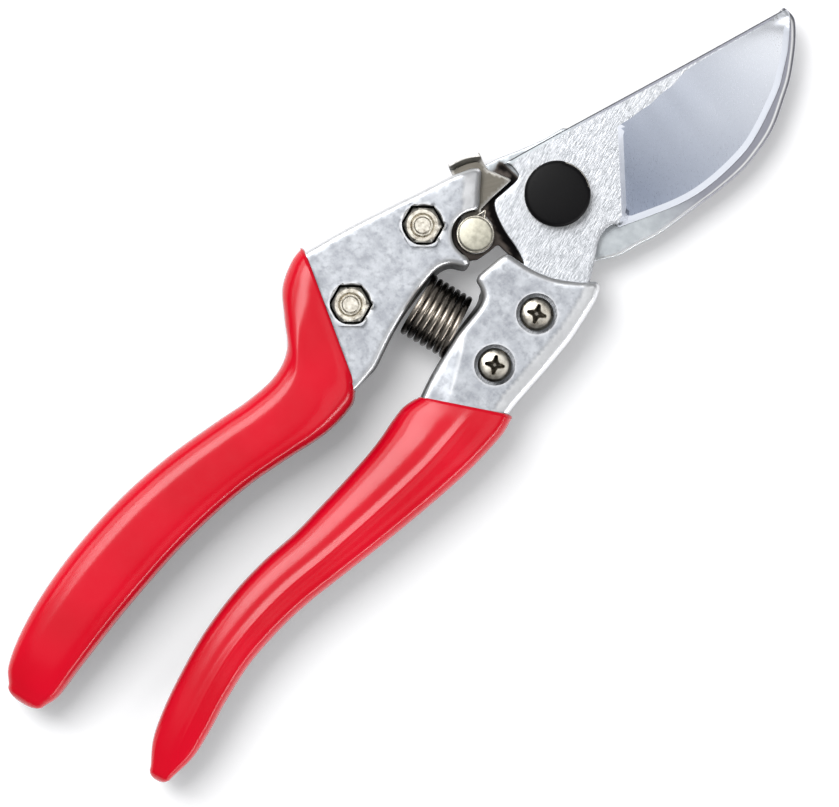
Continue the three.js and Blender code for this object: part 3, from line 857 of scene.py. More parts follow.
@dataclass(frozen=True)
class StampedStainless:
    """Cold-rolled stainless sheet, stamped and tumbled: warm grey with rolling marks."""

    light: str = "#6f6b63"
    dark: str = "#69655d"
    # pale colour of the painted highlight on the edges and the tab
    edge_highlight: str = "#efede8"

    def build(self) -> bpy.types.Material:
        """Make the material."""
        g = Graph("stamped_stainless_sheet")
        rolled = g.streaks((8.0, 0.3), 58.0)
        tint = g.mixed(g.spread(rolled, 0.0, 1.0), linear(self.dark), linear(self.light))
        # painted highlight on the stamped edges and the tab's top
        tint = g.mixed(g.attribute("rim"), tint, linear(self.edge_highlight))
        g.bump(rolled, 0.004, 0.3)
        return g.dress(Base_Color=tint, Metallic=1.0, Roughness=g.spread(rolled, 0.32, 0.38))


@dataclass(frozen=True)
class MouldedNylon:
    """Moulded black nylon: semi-matte with the mould's spark-eroded grain."""

    light: str = "#0d0c0e"
    dark: str = "#060607"

    def build(self) -> bpy.types.Material:
        """Make the material."""
        g = Graph("moulded_black_nylon")
        grain = g.noise(0.3, 3.0, 0.6)
        tint = g.mixed(g.spread(grain, 0.0, 1.0), linear(self.dark), linear(self.light))
        g.bump(grain, 0.02, 0.5)
        rough = g.spread(grain, 0.42, 0.52)
        return g.dress(Base_Color=tint, Roughness=rough, Specular_IOR_Level=0.13)


@dataclass
class Finishes:
    """Every finish of the shears, made once."""

    forged: bpy.types.Material = field(default_factory=lambda: ForgedChromedSteel().build())
    ground: bpy.types.Material = field(default_factory=lambda: HollowGroundSteel().build())
    honed: bpy.types.Material = field(default_factory=lambda: HonedEdge().build())
    counter: bpy.types.Material = field(default_factory=lambda: CounterBladeSteel().build())
    # painted shade along the very corner of the blade's spine
    scale: bpy.types.Material = field(default_factory=lambda: SpineEdgeShade().build())
    cast: bpy.types.Material = field(default_factory=lambda: DieCastAluminium().build())
    vinyl: bpy.types.Material = field(default_factory=lambda: DippedVinyl().build())
    nickel: bpy.types.Material = field(default_factory=lambda: NickelPlate().build())
    pin: bpy.types.Material = field(
        default_factory=lambda: NickelPlate("#c2bfb0", "#a5a294", rough=0.36).build("satin_nickel_pin")
    )
    spring: bpy.types.Material = field(default_factory=lambda: SpringWire().build())
    sheet: bpy.types.Material = field(default_factory=lambda: StampedStainless().build())
    nylon: bpy.types.Material = field(default_factory=lambda: MouldedNylon().build())


def paint(
    piece: bpy.types.Object,
    materials: Sequence[bpy.types.Material],
    choose: Callable[[Array, Array], Array],
) -> None:
    """Give each face one of several materials.

    Args:
        piece: the object.
        materials: materials in slot order.
        choose: turns face centres in millimetres and face normals into slot numbers.
    """
    mesh = piece.data
    for material in materials:
        mesh.materials.append(material)
    centre = np.empty(len(mesh.polygons) * 3, np.float32)
    normal = np.empty(len(mesh.polygons) * 3, np.float32)
    mesh.polygons.foreach_get("center", centre)
    mesh.polygons.foreach_get("normal", normal)
    chosen = choose(centre.reshape(-1, 3) / MM, normal.reshape(-1, 3)).astype(np.int32)
    mesh.polygons.foreach_set("material_index", chosen)
    sharpen_borders(mesh, chosen)


def sharpen_borders(mesh: bpy.types.Mesh, chosen: Array) -> None:
    """Make every edge sharp whose faces have different slots.

    Args:
        mesh: the mesh.
        chosen: slot number of each face.
    """
    sides = np.empty(len(mesh.polygons), np.int32)
    mesh.polygons.foreach_get("loop_total", sides)
    edge = np.empty(len(mesh.loops), np.int32)
    mesh.loops.foreach_get("edge_index", edge)
    slot = np.repeat(chosen, sides)
    low = np.full(len(mesh.edges), 99, np.int32)
    high = np.full(len(mesh.edges), -1, np.int32)
    np.minimum.at(low, edge, slot)
    np.maximum.at(high, edge, slot)
    flags = np.empty(len(mesh.edges), bool)
    mesh.edges.foreach_get("use_edge_sharp", flags)
    mesh.edges.foreach_set("use_edge_sharp", flags | (low != high))
    mesh.update()


# ------------------------------------------------------------------ blades


@dataclass
class CuttingBlade:
    """The cutting blade: a ground plate with a latch notch, and a tang under the casting."""

    spine: Points = ((-11.6, -1.6), (-9.5, 5.0), (-5.2, 18.0), (1.95, 39.6), (7.75, 57.6))
    edge: Points = (
        (11.5, 56.0), (14.0, 52.8), (16.1, 49.3), (17.9, 46.0), (19.55, 41.3), (20.8, 37.0), (21.55, 33.2),
        (21.65, 28.8), (21.3, 23.9), (20.4, 19.0), (19.0, 14.9), (17.3, 11.2), (15.4, 7.4), (13.5, 3.6),
    )
    heel: Points = (
        (12.3, 3.5), (11.9, 2.0), (11.9, 0.3), (12.6, -1.5), (13.9, -3.6), (16.7, -8.3), (18.2, -13.0),
    )
    tang: Points = (
        (18.8, -18.0), (18.8, -33.0), (17.3, -37.5), (14.0, -38.9), (10.5, -37.5), (9.2, -33.0), (8.0, -24.0),
        (6.6, -18.0),
    )
    boss: Points = ((4.5, -14.6), (3.1, -14.0), (0.85, -13.3), (-1.5, -12.85), (-3.8, -12.2), (-6.0, -11.3),
                    (-7.7, -10.2), (-8.3, -9.3))
    notch: Points = ((-7.75, -4.2), (-7.85, -2.9), (-8.3, -2.35), (-10.1, -2.1), (-10.9, -2.0), (-11.5, -2.4),
                     (-12.0, -2.95))
    plunge: Points = ((-0.45, 18.15), (6.0, 11.9), (12.5, 5.6))
    shoulder: float = 1.05
    upper: Points = (
        (-0.45, 18.15), (0.3, 21.0), (0.75, 23.6), (1.35, 26.2), (1.5, 29.0), (2.0, 31.8), (1.9, 34.6),
        (2.3, 37.4), (4.15, 43.8), (6.25, 50.4), (8.35, 57.1),
    )
    bevel_width: float = 1.3
    bevel_drop: float = 0.2
    edge_thickness: float = 0.45
    spine_bevel: float = 0.65

    def __post_init__(self) -> None:
        """Work out the lines that the ground face hangs from."""
        self.edge_line = smooth_curve(self.edge, 150)
        self.spine_line = smooth_curve(self.spine, 70)
        self.upper_line = smooth_curve(self.upper, 40)
        self.bevel_line = shifted(self.edge_line, self.bevel(self.edge_line))[2:-9]
        self.chamfer_line = shifted(self.spine_line, self.chamfer(self.spine_line))[3:-2]
        beyond_tip = ((8.1, 59.2), (10.2, 59.2))
        self.face = np.vstack([self.upper_line[:-1], beyond_tip, self.edge_line, self.plunge[::-1][:-1]])

    def taper(self, xy: Array) -> Array:
        """Share of a bevel's full width: nothing at the very tip, all of it a little way down."""
        return smoothstep(0.2, 5.0, np.hypot(xy[:, 0] - 8.9, xy[:, 1] - 58.3))

    def bevel(self, xy: Array) -> Array:
        """Width of the honed bevel."""
        return self.bevel_width * self.taper(xy)

    def chamfer(self, xy: Array) -> Array:
        """Width of the chamfer along the spine."""
        return self.spine_bevel * self.taper(xy)

    def parts_of(self, xy: Array) -> tuple[Array, Array, Array, Array]:
        """Distances of points from the edge, the plunge line and the spine, and which are ground."""
        return (
            distance_to(self.edge_line, xy),
            distance_to(self.plunge, xy),
            distance_to(self.spine_line, xy),
            inside(self.face, xy) | (distance_to(self.edge_line, xy) < 0.5),
        )

    def relief(self, xy: Array) -> Array:
        """How far the upper face sinks.

        The ground face falls from nothing at its upper line to the full depth at the edge as
        1 - t**1.35, where t is the share of the way from the edge to that line. It grows out of
        the plunge line over the shoulder, and a narrow bevel at the edge falls a little more.
        """
        from_edge, from_plunge, from_spine, ground = self.parts_of(xy)
        t = from_edge / np.maximum(from_edge + distance_to(self.upper_line, xy), 1e-6)
        depth = (BLADE_TOP - PARTING_PLANE - self.edge_thickness - self.bevel_drop) * (1 - t**1.35)
        sunk = depth * smoothstep(0.0, self.shoulder, from_plunge)
        honed = np.clip(1 - from_edge / np.maximum(self.bevel(xy), 0.05), 0, 1)
        sunk += self.bevel_drop * honed * self.taper(xy)
        return np.where(ground, sunk, 0.03 * np.clip(self.chamfer(xy) - from_spine, 0, 1))

    def zones(self, centre: Array, normal: Array) -> Array:
        """Slot of each face: the spine has a plain chamfer band in the counter blade's greyer finish and, at
        its very corner, a dark finish, both painted shade; the plunge's shoulder takes the honed finish as
        painted highlight.
        """
        from_edge, from_plunge, from_spine, ground = self.parts_of(centre[:, :2])
        up = normal[:, 2] > 0.3
        # the honed bevel, and the plunge's shoulder as painted highlight in the honed edge's near-white
        # finish
        honed = (from_edge < self.bevel(centre)) | (from_plunge < self.shoulder)
        face = np.where(honed, BladeFace.HONED_HIGHLIGHT, BladeFace.GROUND)
        slot = np.where(ground & up, face, BladeFace.FORGED)
        # painted shade: the band along the spine takes the counter blade's greyer finish
        plain = (slot == BladeFace.FORGED) & (from_spine < self.chamfer(centre))
        slot = np.where(plain, BladeFace.CHAMFER, slot)
        # painted shade: a dark line along the spine's outer corner
        corner = (from_spine < 0.2) & (centre[:, 2] > PARTING_PLANE + 0.3)
        return np.where(corner, BladeFace.CORNER, slot)

    def build(self, finishes: Finishes) -> None:
        """Make the blade, dress it and hang it on the blade side."""
        loop = closed_loop(
            [self.spine_line, ((8.3, 58.4), (9.3, 58.2)), self.edge_line, smooth_curve(self.heel, 40),
             self.tang, smooth_curve(self.boss, 30), self.notch],
            0.35, 0.13,
        )
        side = np.array(self.plunge) + np.array((0.693, 0.721)) * self.shoulder
        side = side[0] + (side[-1] - side[0]) * np.array([0.1, 0.5, 0.88])[:, None]
        features = [self.bevel_line, self.plunge, side, self.upper_line[1:-3], self.chamfer_line]
        profile = rounded(PARTING_PLANE + 0.05, BLADE_TOP, 0.08, 0.24, 3)
        shell = plate(loop, profile, self.relief, features, 0.9)
        piece = make_piece("cutting_blade_plate", shell, 28)
        dressings = (finishes.forged, finishes.ground, finishes.honed, finishes.counter, finishes.scale)
        paint(piece, dressings, self.zones)
        place(piece, Body.BLADE_SIDE, "blade_steel", finishes.forged, "cutting_blade")


@dataclass
class CounterBlade:
    """The hooked counter blade with its boss and the tang behind the hook-side casting."""

    outer: Points = (
        (7.6, 58.6), (9.8, 58.6), (11.3, 57.9), (13.8, 55.3), (16.2, 52.1), (18.4, 48.7), (20.2, 44.9),
        (21.95, 41.0), (23.0, 37.6), (23.6, 33.5), (23.8, 29.0), (23.1, 22.9), (22.2, 18.0), (20.3, 8.35),
        (18.8, 4.1), (17.4, -0.3), (14.72, -4.42),
    )
    boss_radius: float = 15.4
    tang: Points = (
        (-2.1, -17.6), (-2.7, -20.4), (-5.2, -23.6), (-9.6, -27.0), (-10.4, -35.0), (-10.2, -44.0),
        (-11.6, -48.6), (-15.0, -50.2), (-18.6, -48.6), (-20.6, -44.0), (-21.0, -31.0), (-19.4, -20.0),
        (-16.8, -12.0),
    )
    back: Points = ((-15.0, -7.0), (-14.45, -5.2), (-13.45, -2.5), (-11.6, 1.35), (-9.4, 6.4))
    inner: Points = ((9.1, 12.6), (12.6, 16.0), (15.3, 23.9), (16.4, 34.4), (13.9, 45.8), (7.4, 57.6))

    def build(self, finishes: Finishes) -> None:
        """Make the plate, dress it and put it on the hook side."""
        loop = closed_loop(
            [smooth_curve(self.outer, 150), arc((0, 0), self.boss_radius, -20, -97, 40), self.tang,
             smooth_curve(self.back, 20), arc((0, 0), 13.4, 128, 66, 24), smooth_curve(self.inner, 60)],
            0.4, 0.2,
        )
        outer = self.outer_line()
        lines = [shifted(outer, self.bevel(outer) + more)[6:-3] for more in (0, 0.3)]
        shell = plate(loop, rounded(HOOK_BOTTOM, PARTING_PLANE, 0.45, 0.2, 4), self.relief, lines, 0.7)
        piece = make_piece("counter_blade_plate", shell, 40)
        # painted highlight along the bevel's crest
        point_values(piece, "rim", self.crest)
        # painted shade, with some grease, round the latch and along the blade's boss
        point_values(piece, "grease", self.grease)
        place(piece, Body.HOOK_SIDE, "counter_steel", finishes.counter, "counter_blade")

    def bevel(self, xy: Array) -> Array:
        """Width of the bevel along the outer edge: narrow at the boss, wide towards the tip."""
        return 0.35 + 0.35 * smoothstep(6.0, 40.0, xy[:, 1])

    def relief(self, xy: Array) -> Array:
        """Fall of the bevel: a constant slope from its crest to the outer edge."""
        return 0.5 * np.clip(self.bevel(xy) - distance_to(self.outer_line(), xy), 0, 2)

    def outer_line(self) -> Array:
        """The outer edge as a fine polyline."""
        return smooth_curve(self.outer, 120)

    def crest(self, p: Array) -> Array:
        """Painted highlight on the bevel's crest: 0.8 on it, fading to nothing 0.3 mm away, on top only."""
        off = np.abs(distance_to(self.outer_line(), p) - self.bevel(p))
        return np.where(p[:, 2] > 7.2, 0.8 * (1 - smoothstep(0.05, 0.3, off)), 0)

    def grease(self, p: Array) -> Array:
        """Painted shade round the latch, with some grease: some over the corner, most along the blade's boss,
        which shades the plate below it.
        """
        corner = (1 - smoothstep(2.0, 7.0, p[:, 0])) * (1 - smoothstep(-3.3, -2.3, p[:, 1]))
        corner *= smoothstep(-13.4, -12.2, p[:, 0])
        lip = np.vstack([CuttingBlade.boss, CuttingBlade.notch])
        close = 1 - smoothstep(1.2, 2.0, distance_to(lip, p))
        return corner * np.maximum(0.5, close)


# ------------------------------------------------------------------ handles

# A station of a grip: left point, right point and height of its section.
Station = tuple[tuple[float, float], tuple[float, float], float]


@dataclass
class Handle:
    """A cast handle with a dipped grip over its lower part."""

    name: str
    body: Body
    outline: Sequence[Points]
    top: float
    tang_room: Points
    tang_top: float
    soft_edges: Sequence[tuple[Points, float, float]]
    cutters: Sequence[Shell]
    recesses: Sequence[tuple[float, float, float]]
    stations: Sequence[Station]
    recess_wall: tuple[float, float, float, float]
    facet: tuple[float, float]
    ribs: Sequence[tuple[float, float, float]]
    crease: Points = ()
    rim: float = 1.15
    squareness: float = 4.6
    thickest: float = 17.0

    def relief(self, xy: Array) -> Array:
        """Sink of the top along the wide soft edges: a slope that starts with a short curve."""
        sunk = np.zeros(len(xy))
        for line, width, slope in self.soft_edges:
            reach = np.clip(width - distance_to(line, xy), 0, width)
            sunk = np.maximum(sunk, slope * reach**2 / (reach + 0.35))
        if len(self.crease):
            side = np.array([*self.crease, (12.0, -55.0), (0.0, -55.0), (0.0, -32.0)])
            sunk += np.where(inside(side, xy), 0.07 * distance_to(self.crease, xy), 0)
        return sunk

    def draft(self, loop: Array) -> Array:
        """How far the wall's foot stands out: most in the upper part of the spring's bay."""
        left, right, low, high = self.recess_wall
        x, y = loop[:, 0], loop[:, 1]
        across = smoothstep(left - 0.6, left, x) * (1 - smoothstep(right, right + 0.6, x))
        along = smoothstep(low, low + 4, y) * (1 - smoothstep(high - 1, high, y))
        return across * along * (0.3 + 0.6 * smoothstep(-38, -28, y))

    def painted_shade(self, p: Array) -> Array:
        """Painted shade: full on the walls of the recesses and the pin's pocket, strong on the bay's wall."""
        deep = np.zeros(len(p))
        for x, y, radius in (*self.recesses, (*LATCH_PIN, 4.1)):
            near = np.hypot(p[:, 0] - x, p[:, 1] - y) < radius + 0.7
            deep = np.where(near & (p[:, 2] < self.top - 0.17), 1.0, deep)
        left, right, low, high = self.recess_wall
        bay = (p[:, 0] > left - 1) & (p[:, 0] < right + 1) & (p[:, 1] > low) & (p[:, 1] < high + 1)
        return np.where(bay & (p[:, 2] < self.top - 1.1) & (p[:, 2] > HOOK_BOTTOM + 0.3), 0.97, deep)

    def rim_wear_and_highlight(self, loop: Array) -> Callable[[Array], Array]:
        """Rule for the rubbed rims and their painted highlight: high near the outline, the recess mouths,
        over the soft edges and along the crease, on top only.
        """
        ring = np.vstack([loop, loop[:1]])

        def wear_and_highlight(p: Array) -> Array:
            near = 0.6 * (1 - smoothstep(0.4, 1.3, distance_to(ring, p)))
            for x, y, radius in self.recesses:
                off = np.abs(np.hypot(p[:, 0] - x, p[:, 1] - y) - radius)
                near = np.maximum(near, 0.35 * (1 - smoothstep(0.1, 0.6, off)))
            for line, width, _ in self.soft_edges:
                off = distance_to(line, p) - width
                near = np.maximum(near, 0.5 * (1 - smoothstep(-0.2, 0.15, off)))
            if len(self.crease):
                near = np.maximum(near, 0.3 * (1 - smoothstep(0.1, 0.4, distance_to(self.crease, p))))
            return near * smoothstep(self.top - 3.4, self.top - 1.2, p[:, 2])

        return wear_and_highlight

    def grip(self) -> Shell:
        """Loft the grip through its stations.

        A ring is a superellipse: its point at angle a is the middle plus the half width times
        sign(cos a) |cos a|**(2/n) across and the half height times the same of sin a upwards.
        The first rings make a rolled lip and the last ones close the end as a quarter-ellipse.
        The top also falls by the facet's slope to the left of the facet's edge, and rises in ribs
        that are bell curves across the section.
        """
        count, around = 130, 110
        left = smooth_curve([s[0] for s in self.stations], count)
        right = smooth_curve([s[1] for s in self.stations], count)
        height = smooth_curve([(i, s[2]) for i, s in enumerate(self.stations)], count)[:, 1]
        height = np.minimum(height, self.thickest)
        middle, half = (left + right) / 2, (right - left) / 2
        forward = np.c_[half[:, 1], -half[:, 0]] / np.linalg.norm(half, axis=1, keepdims=True)
        lip = np.array([0.0, 0.25, 0.55, 0.85])
        swell = np.sqrt(1 - (1 - lip) ** 2)
        turn = np.radians(np.array([20.0, 40.0, 58.0, 72.0, 82.0, 88.0]))
        scale = np.r_[1 - 0.07 * (1 - swell), np.ones(count - 1), np.cos(turn)]
        rows = np.r_[[0] * 4, np.arange(1, count), [count - 1] * 6]
        push = np.r_[-0.3 + 0.9 * lip, np.zeros(count - 1), 2.0 * np.sin(turn)]
        angle = np.linspace(0, 2 * math.pi, 6001)
        power = 2 / self.squareness
        section = np.c_[np.sign(np.cos(angle)) * np.abs(np.cos(angle)) ** power,
                        np.sign(np.sin(angle)) * np.abs(np.sin(angle)) ** power]
        length = np.r_[0, np.cumsum(np.hypot(*np.diff(section, axis=0).T))]
        place_on = np.linspace(0, length[-1], around, endpoint=False)
        across, up = (np.interp(place_on, length, section[:, k]) for k in (0, 1))
        centre = middle[rows] + push[:, None] * forward[rows]
        flat = centre[:, None] + (scale[:, None] * half[rows])[:, None] * across[None, :, None]
        z = PARTING_PLANE + (scale * height[rows] / 2)[:, None] * up[None]
        width = np.linalg.norm(half, axis=1)[rows][:, None]
        edge, slope = self.facet
        beyond = np.clip(edge - across, 0, 1)[None] * width
        lift = -slope * beyond**2 / (beyond + 0.5)
        for at, rise, reach in self.ribs:
            lift = lift + rise * np.exp(-(((across[None] - at) * width / reach) ** 2))
        ring = np.arange(len(rows))
        fade = scale * smoothstep(0, 25, ring) * (1 - smoothstep(count - 14, count + 3, ring))
        z = z + lift * smoothstep(0.0, 0.6, up)[None] * fade[:, None]
        return rings_shell(np.concatenate([flat, z[..., None]], 2))

    def build(self, finishes: Finishes) -> None:
        """Make the casting and the grip, dress them and hang them on their body."""
        loop = closed_loop(self.outline, 0.4, 0.28)
        lines = [self.crease] if len(self.crease) else []
        profile = rounded(HOOK_BOTTOM, self.top, 0.8, self.rim, 5)
        shell = plate(loop, profile, self.relief, lines, 0.7, self.draft(loop))
        casting = make_piece(f"{self.name}_casting_body", shell, 50)
        room = plate(closed_loop([self.tang_room], 0.8, 0.2), [(0, HOOK_BOTTOM - 3), (0, self.tang_top)])
        cut(casting, [room, *self.cutters], 42)
        # painted highlight, with some rubbed wear, along the rims
        point_values(casting, "rim", self.rim_wear_and_highlight(loop))
        # painted shade on the walls of the recesses, the pin's pocket and the spring's bay
        point_values(casting, "painted_shade", self.painted_shade)
        place(casting, self.body, "cast_aluminium", finishes.cast, f"{self.name}_casting")
        grip = make_piece(f"{self.name}_grip_skin", self.grip(), 70)
        place(grip, self.body, "red_vinyl", finishes.vinyl, f"{self.name}_grip")


def bored(x: float, y: float, radius: float, floor: float, top: float, flare: float = 0.45) -> Shell:
    """Cutter for a round recess with a rounded mouth: a turned plug that widens at the top."""
    return turned(
        (x, y),
        [(0, floor), (radius - 0.25, floor), (radius, floor + 0.25), (radius, top - flare),
         (radius + 0.13 * flare, top - 0.6 * flare), (radius + 0.4 * flare, top - 0.25 * flare),
         (radius + flare, top - 0.02), (radius + flare + 0.3, top + 1.5), (0, top + 1.5)],
        56,
    )


def hexagonal(x: float, y: float, flats: float, turn: float) -> Array:
    """Closed loop of a hexagon sized across its flats, with slightly soft corners."""
    return closed_loop([arc((x, y), flats / math.sqrt(3), turn, turn + 300, 6)], 0.12, 0.08)


def hex_recess(x: float, y: float, flats: float, turn: float, floor: float, top: float) -> Shell:
    """Cutter for a hexagonal recess whose mouth widens a little."""
    return plate(
        hexagonal(x, y, flats, turn),
        [(0.0, floor), (0.0, top - 0.25), (-0.06, top - 0.1), (-0.2, top + 0.01), (-0.4, top + 1.5)],
    )


def hook_handle() -> Handle:
    """The handle on the counter blade's side, with two hexagonal nut recesses and the latch's slot."""
    front = ((-15.6, -7.0), (-14.1, -6.9), (-13.14, -8.3), (-11.2, -10.7), (-9.5, -12.6))
    latch_room = closed_loop(
        [((-4.6, -12.0), (-8.0, -6.0), (-14.0, -3.0), (-19.0, -5.0), (-21.8, -10.0), (-22.6, -18.0),
          (-20.3, -22.6), (-15.4, -20.4), (-11.6, -20.0)), arc(LATCH_PIN, 4.4, 215, 330, 12)],
        0.6, 0.1,
    )
    cutters = [plate(latch_room, [(0, PARTING_PLANE - 0.5), (0, 10.45)])]
    cutters += [hex_recess(x, y, 7.75, 43, 11.5, HOOK_CASTING_TOP) for x, y in HOOK_SCREWS]
    cutters += [bored(x, y + 0.35, 3.95, 14.1, HOOK_CASTING_TOP, 0.12) for x, y in HOOK_SCREWS]
    return Handle(
        name="hook_handle",
        body=Body.HOOK_SIDE,
        outline=[
            smooth_curve([(-29.0, -43.4), (-28.5, -42.0), (-26.5, -35.4), (-23.5, -26.9), (-20.3, -18.5),
                          (-17.9, -11.9), (-16.6, -9.2)], 60),
            smooth_curve([(-16.1, -8.1), (-15.2, -7.1), (-14.2, -7.1), (-13.2, -8.3), (-11.3, -10.6),
                          (-9.7, -12.4)], 30),
            arc(LATCH_PIN, 4.5, 130, 262, 30),
            ((-5.4, -21.55), (-4.2, -21.6), (-3.3, -21.9), (-3.1, -22.6), (-3.7, -23.4)),
            smooth_curve([(-4.4, -23.8), (-6.1, -24.9), (-7.1, -26.7), (-7.35, -28.9), (-7.0, -32.8),
                          (-6.4, -36.3), (-5.8, -39.9), (-4.9, -43.7), (-4.0, -46.7), (-3.0, -50.0),
                          (-2.75, -52.5), (-2.6, -56.2)], 60),
            ((-3.4, -58.0), (-27.6, -46.4)),
        ],
        top=HOOK_CASTING_TOP,
        tang_room=((-1.6, -18.0), (-2.1, -21.0), (-4.9, -24.0), (-9.2, -27.2), (-10.0, -35.0),
                   (-9.8, -44.1), (-11.3, -48.9), (-15.0, -50.6), (-18.9, -48.9), (-21.0, -44.1),
                   (-21.4, -31.0), (-19.8, -19.9), (-17.2, -11.8), (-15.4, -6.6), (-8.0, -6.0),
                   (-1.6, -12.0)),
        tang_top=PARTING_PLANE + 0.05,
        soft_edges=[(front, 3.4, 0.36)],
        cutters=cutters,
        recesses=[(x, y, 4.2) for x, y in HOOK_SCREWS],
        recess_wall=(-8.0, -2.0, -54.0, -22.4),
        facet=(-0.4, 0.13),
        ribs=((0.8, 0.12, 0.7),),
        stations=(
            ((-30.0, -42.6), (-2.6, -56.2), 15.4), ((-29.6, -46.2), (-1.2, -58.4), 16.2),
            ((-27.4, -51.2), (-0.8, -61.6), 16.6), ((-23.2, -55.2), (-0.9, -65.4), 17.0),
            ((-18.3, -59.6), (-1.6, -69.4), 17.0), ((-16.4, -65.2), (-2.7, -73.6), 17.0),
            ((-17.0, -72.5), (-4.0, -79.0), 17.0), ((-18.7, -80.0), (-5.2, -84.8), 17.0),
            ((-21.0, -91.8), (-6.3, -94.2), 17.0), ((-22.2, -104.0), (-6.7, -105.0), 17.0),
            ((-22.0, -117.0), (-6.3, -117.4), 16.6), ((-20.6, -128.5), (-5.6, -127.2), 15.8),
            ((-18.4, -137.5), (-4.8, -135.6), 14.2), ((-15.8, -143.8), (-4.2, -141.6), 11.4),
            ((-13.2, -146.6), (-4.9, -144.9), 8.6),
        ),
    )


def blade_handle() -> Handle:
    """The handle on the cutting blade's side, with two round screw recesses."""
    side = (
        (19.4, -7.9), (20.4, -10.6), (21.2, -14.4), (22.0, -19.0), (22.4, -27.4), (22.75, -36.5),
        (23.6, -41.0),
    )
    swing, low, high = 16.2, 3.0, PARTING_PLANE + 0.3
    boss = turned((0, 0), [(0, low), (swing, low), (swing, high), (0, high)], 96)
    return Handle(
        name="blade_handle",
        body=Body.BLADE_SIDE,
        outline=[
            smooth_curve([(0.9, -15.6), (1.8, -15.35), (3.8, -15.1), (6.2, -14.65), (8.3, -14.0),
                          (10.3, -13.2), (12.1, -12.2), (13.8, -11.0), (15.4, -9.8), (16.8, -8.4),
                          (17.6, -7.5)], 50),
            ((18.6, -7.5), (19.3, -8.3)),
            smooth_curve([(20.2, -10.5), (21.0, -14.4), (21.8, -19.0), (22.1, -22.8), (22.35, -27.4),
                          (22.5, -32.0), (22.65, -36.5), (23.0, -39.5)], 40),
            ((23.0, -41.4), (9.2, -50.6)),
            smooth_curve([(8.1, -48.6), (6.8, -44.5), (5.8, -40.2), (5.2, -37.0), (4.6, -33.7), (4.4, -29.7),
                          (4.1, -27.0), (3.4, -25.2)], 40),
            ((2.4, -24.4), (0.9, -23.95), (0.0, -23.7), (-0.4, -22.9)),
            smooth_curve([(-0.35, -22.0), (-0.05, -19.7), (0.3, -17.1), (0.5, -16.2)], 14),
        ],
        top=BLADE_CASTING_TOP,
        tang_room=((-9.0, -8.0), (-9.0, -12.5), (3.4, -15.2), (5.8, -17.7), (7.2, -24.1), (8.4, -33.1),
                   (9.9, -38.3), (14.0, -39.8), (18.1, -38.3), (19.7, -33.1), (19.7, -20.0),
                   (19.0, -13.4), (16.0, -5.0)),
        tang_top=BLADE_TOP + 0.05,
        soft_edges=[(side, 3.2, 0.42)],
        cutters=[boss] + [bored(x, y, 3.72, 12.75, BLADE_CASTING_TOP, 0.4) for x, y in BLADE_SCREWS],
        recesses=[(x, y, 3.9) for x, y in BLADE_SCREWS],
        recess_wall=(-1.0, 8.3, -52.0, -24.0),
        facet=(-0.2, 0.13),
        ribs=((0.2, 0.35, 0.9),),
        crease=((4.9, -31.6), (5.4, -32.9), (7.9, -36.6), (10.2, -40.8), (11.6, -43.7)),
        stations=(
            ((7.3, -48.9), (23.9, -38.6), 15.4), ((6.6, -52.2), (24.8, -42.2), 16.2),
            ((6.9, -55.8), (25.0, -46.8), 16.6), ((7.5, -59.6), (24.9, -52.6), 17.0),
            ((7.9, -64.0), (24.4, -58.8), 17.0), ((8.1, -70.4), (23.4, -67.4), 17.0),
            ((8.1, -77.8), (22.2, -76.2), 17.0), ((8.0, -85.2), (20.9, -84.6), 17.0),
            ((7.2, -93.8), (19.5, -94.0), 17.0), ((7.2, -102.6), (19.0, -102.2), 17.0),
            ((8.3, -112.2), (19.3, -110.6), 16.4), ((10.3, -120.8), (20.8, -118.8), 15.4),
            ((12.7, -128.6), (22.6, -125.8), 13.8), ((15.4, -134.8), (23.8, -132.0), 11.4),
            ((18.8, -139.2), (23.5, -138.0), 8.6),
        ),
    )


# ------------------------------------------------------------------ fasteners and pivot


def place_nickel(
    node: str, ending: str, shell: Shell, body: Body, finishes: Finishes, sharp: float = 35.0
) -> None:
    """Make a nickel-plated piece called after its node, dress it and hang it on its body."""
    piece = make_piece(f"{node}_{ending}", shell, sharp)
    place(piece, body, "nickel_plate", finishes.nickel, node)


def nut(x: float, y: float, flats: float, turn: float, bottom: float, top: float, bore: float) -> Shell:
    """A hexagonal nut, chamfered by a cone at the top and countersunk round its bore.

    The upper face falls by the slope times the distance beyond the chamfer's circle, and by 0.9
    times the distance inside the countersink.
    """
    width = 0.45
    chamfer, sink, slope = flats / 2 * 0.9, bore + width, 0.5

    def relief(xy: Array) -> Array:
        """Fall beyond the chamfer's circle and inside the countersink's."""
        off = np.hypot(xy[:, 0] - x, xy[:, 1] - y)
        return slope * np.clip(off - chamfer, 0, 1.5) + 0.9 * np.clip(sink - off, 0, width)

    circles = [arc((x, y), r, 0, 360, 48) for r in (sink - width, sink, chamfer)]
    return plate(hexagonal(x, y, flats, turn), rounded(bottom, top, 0.25, 0.08, 3), relief, circles, 0.5)


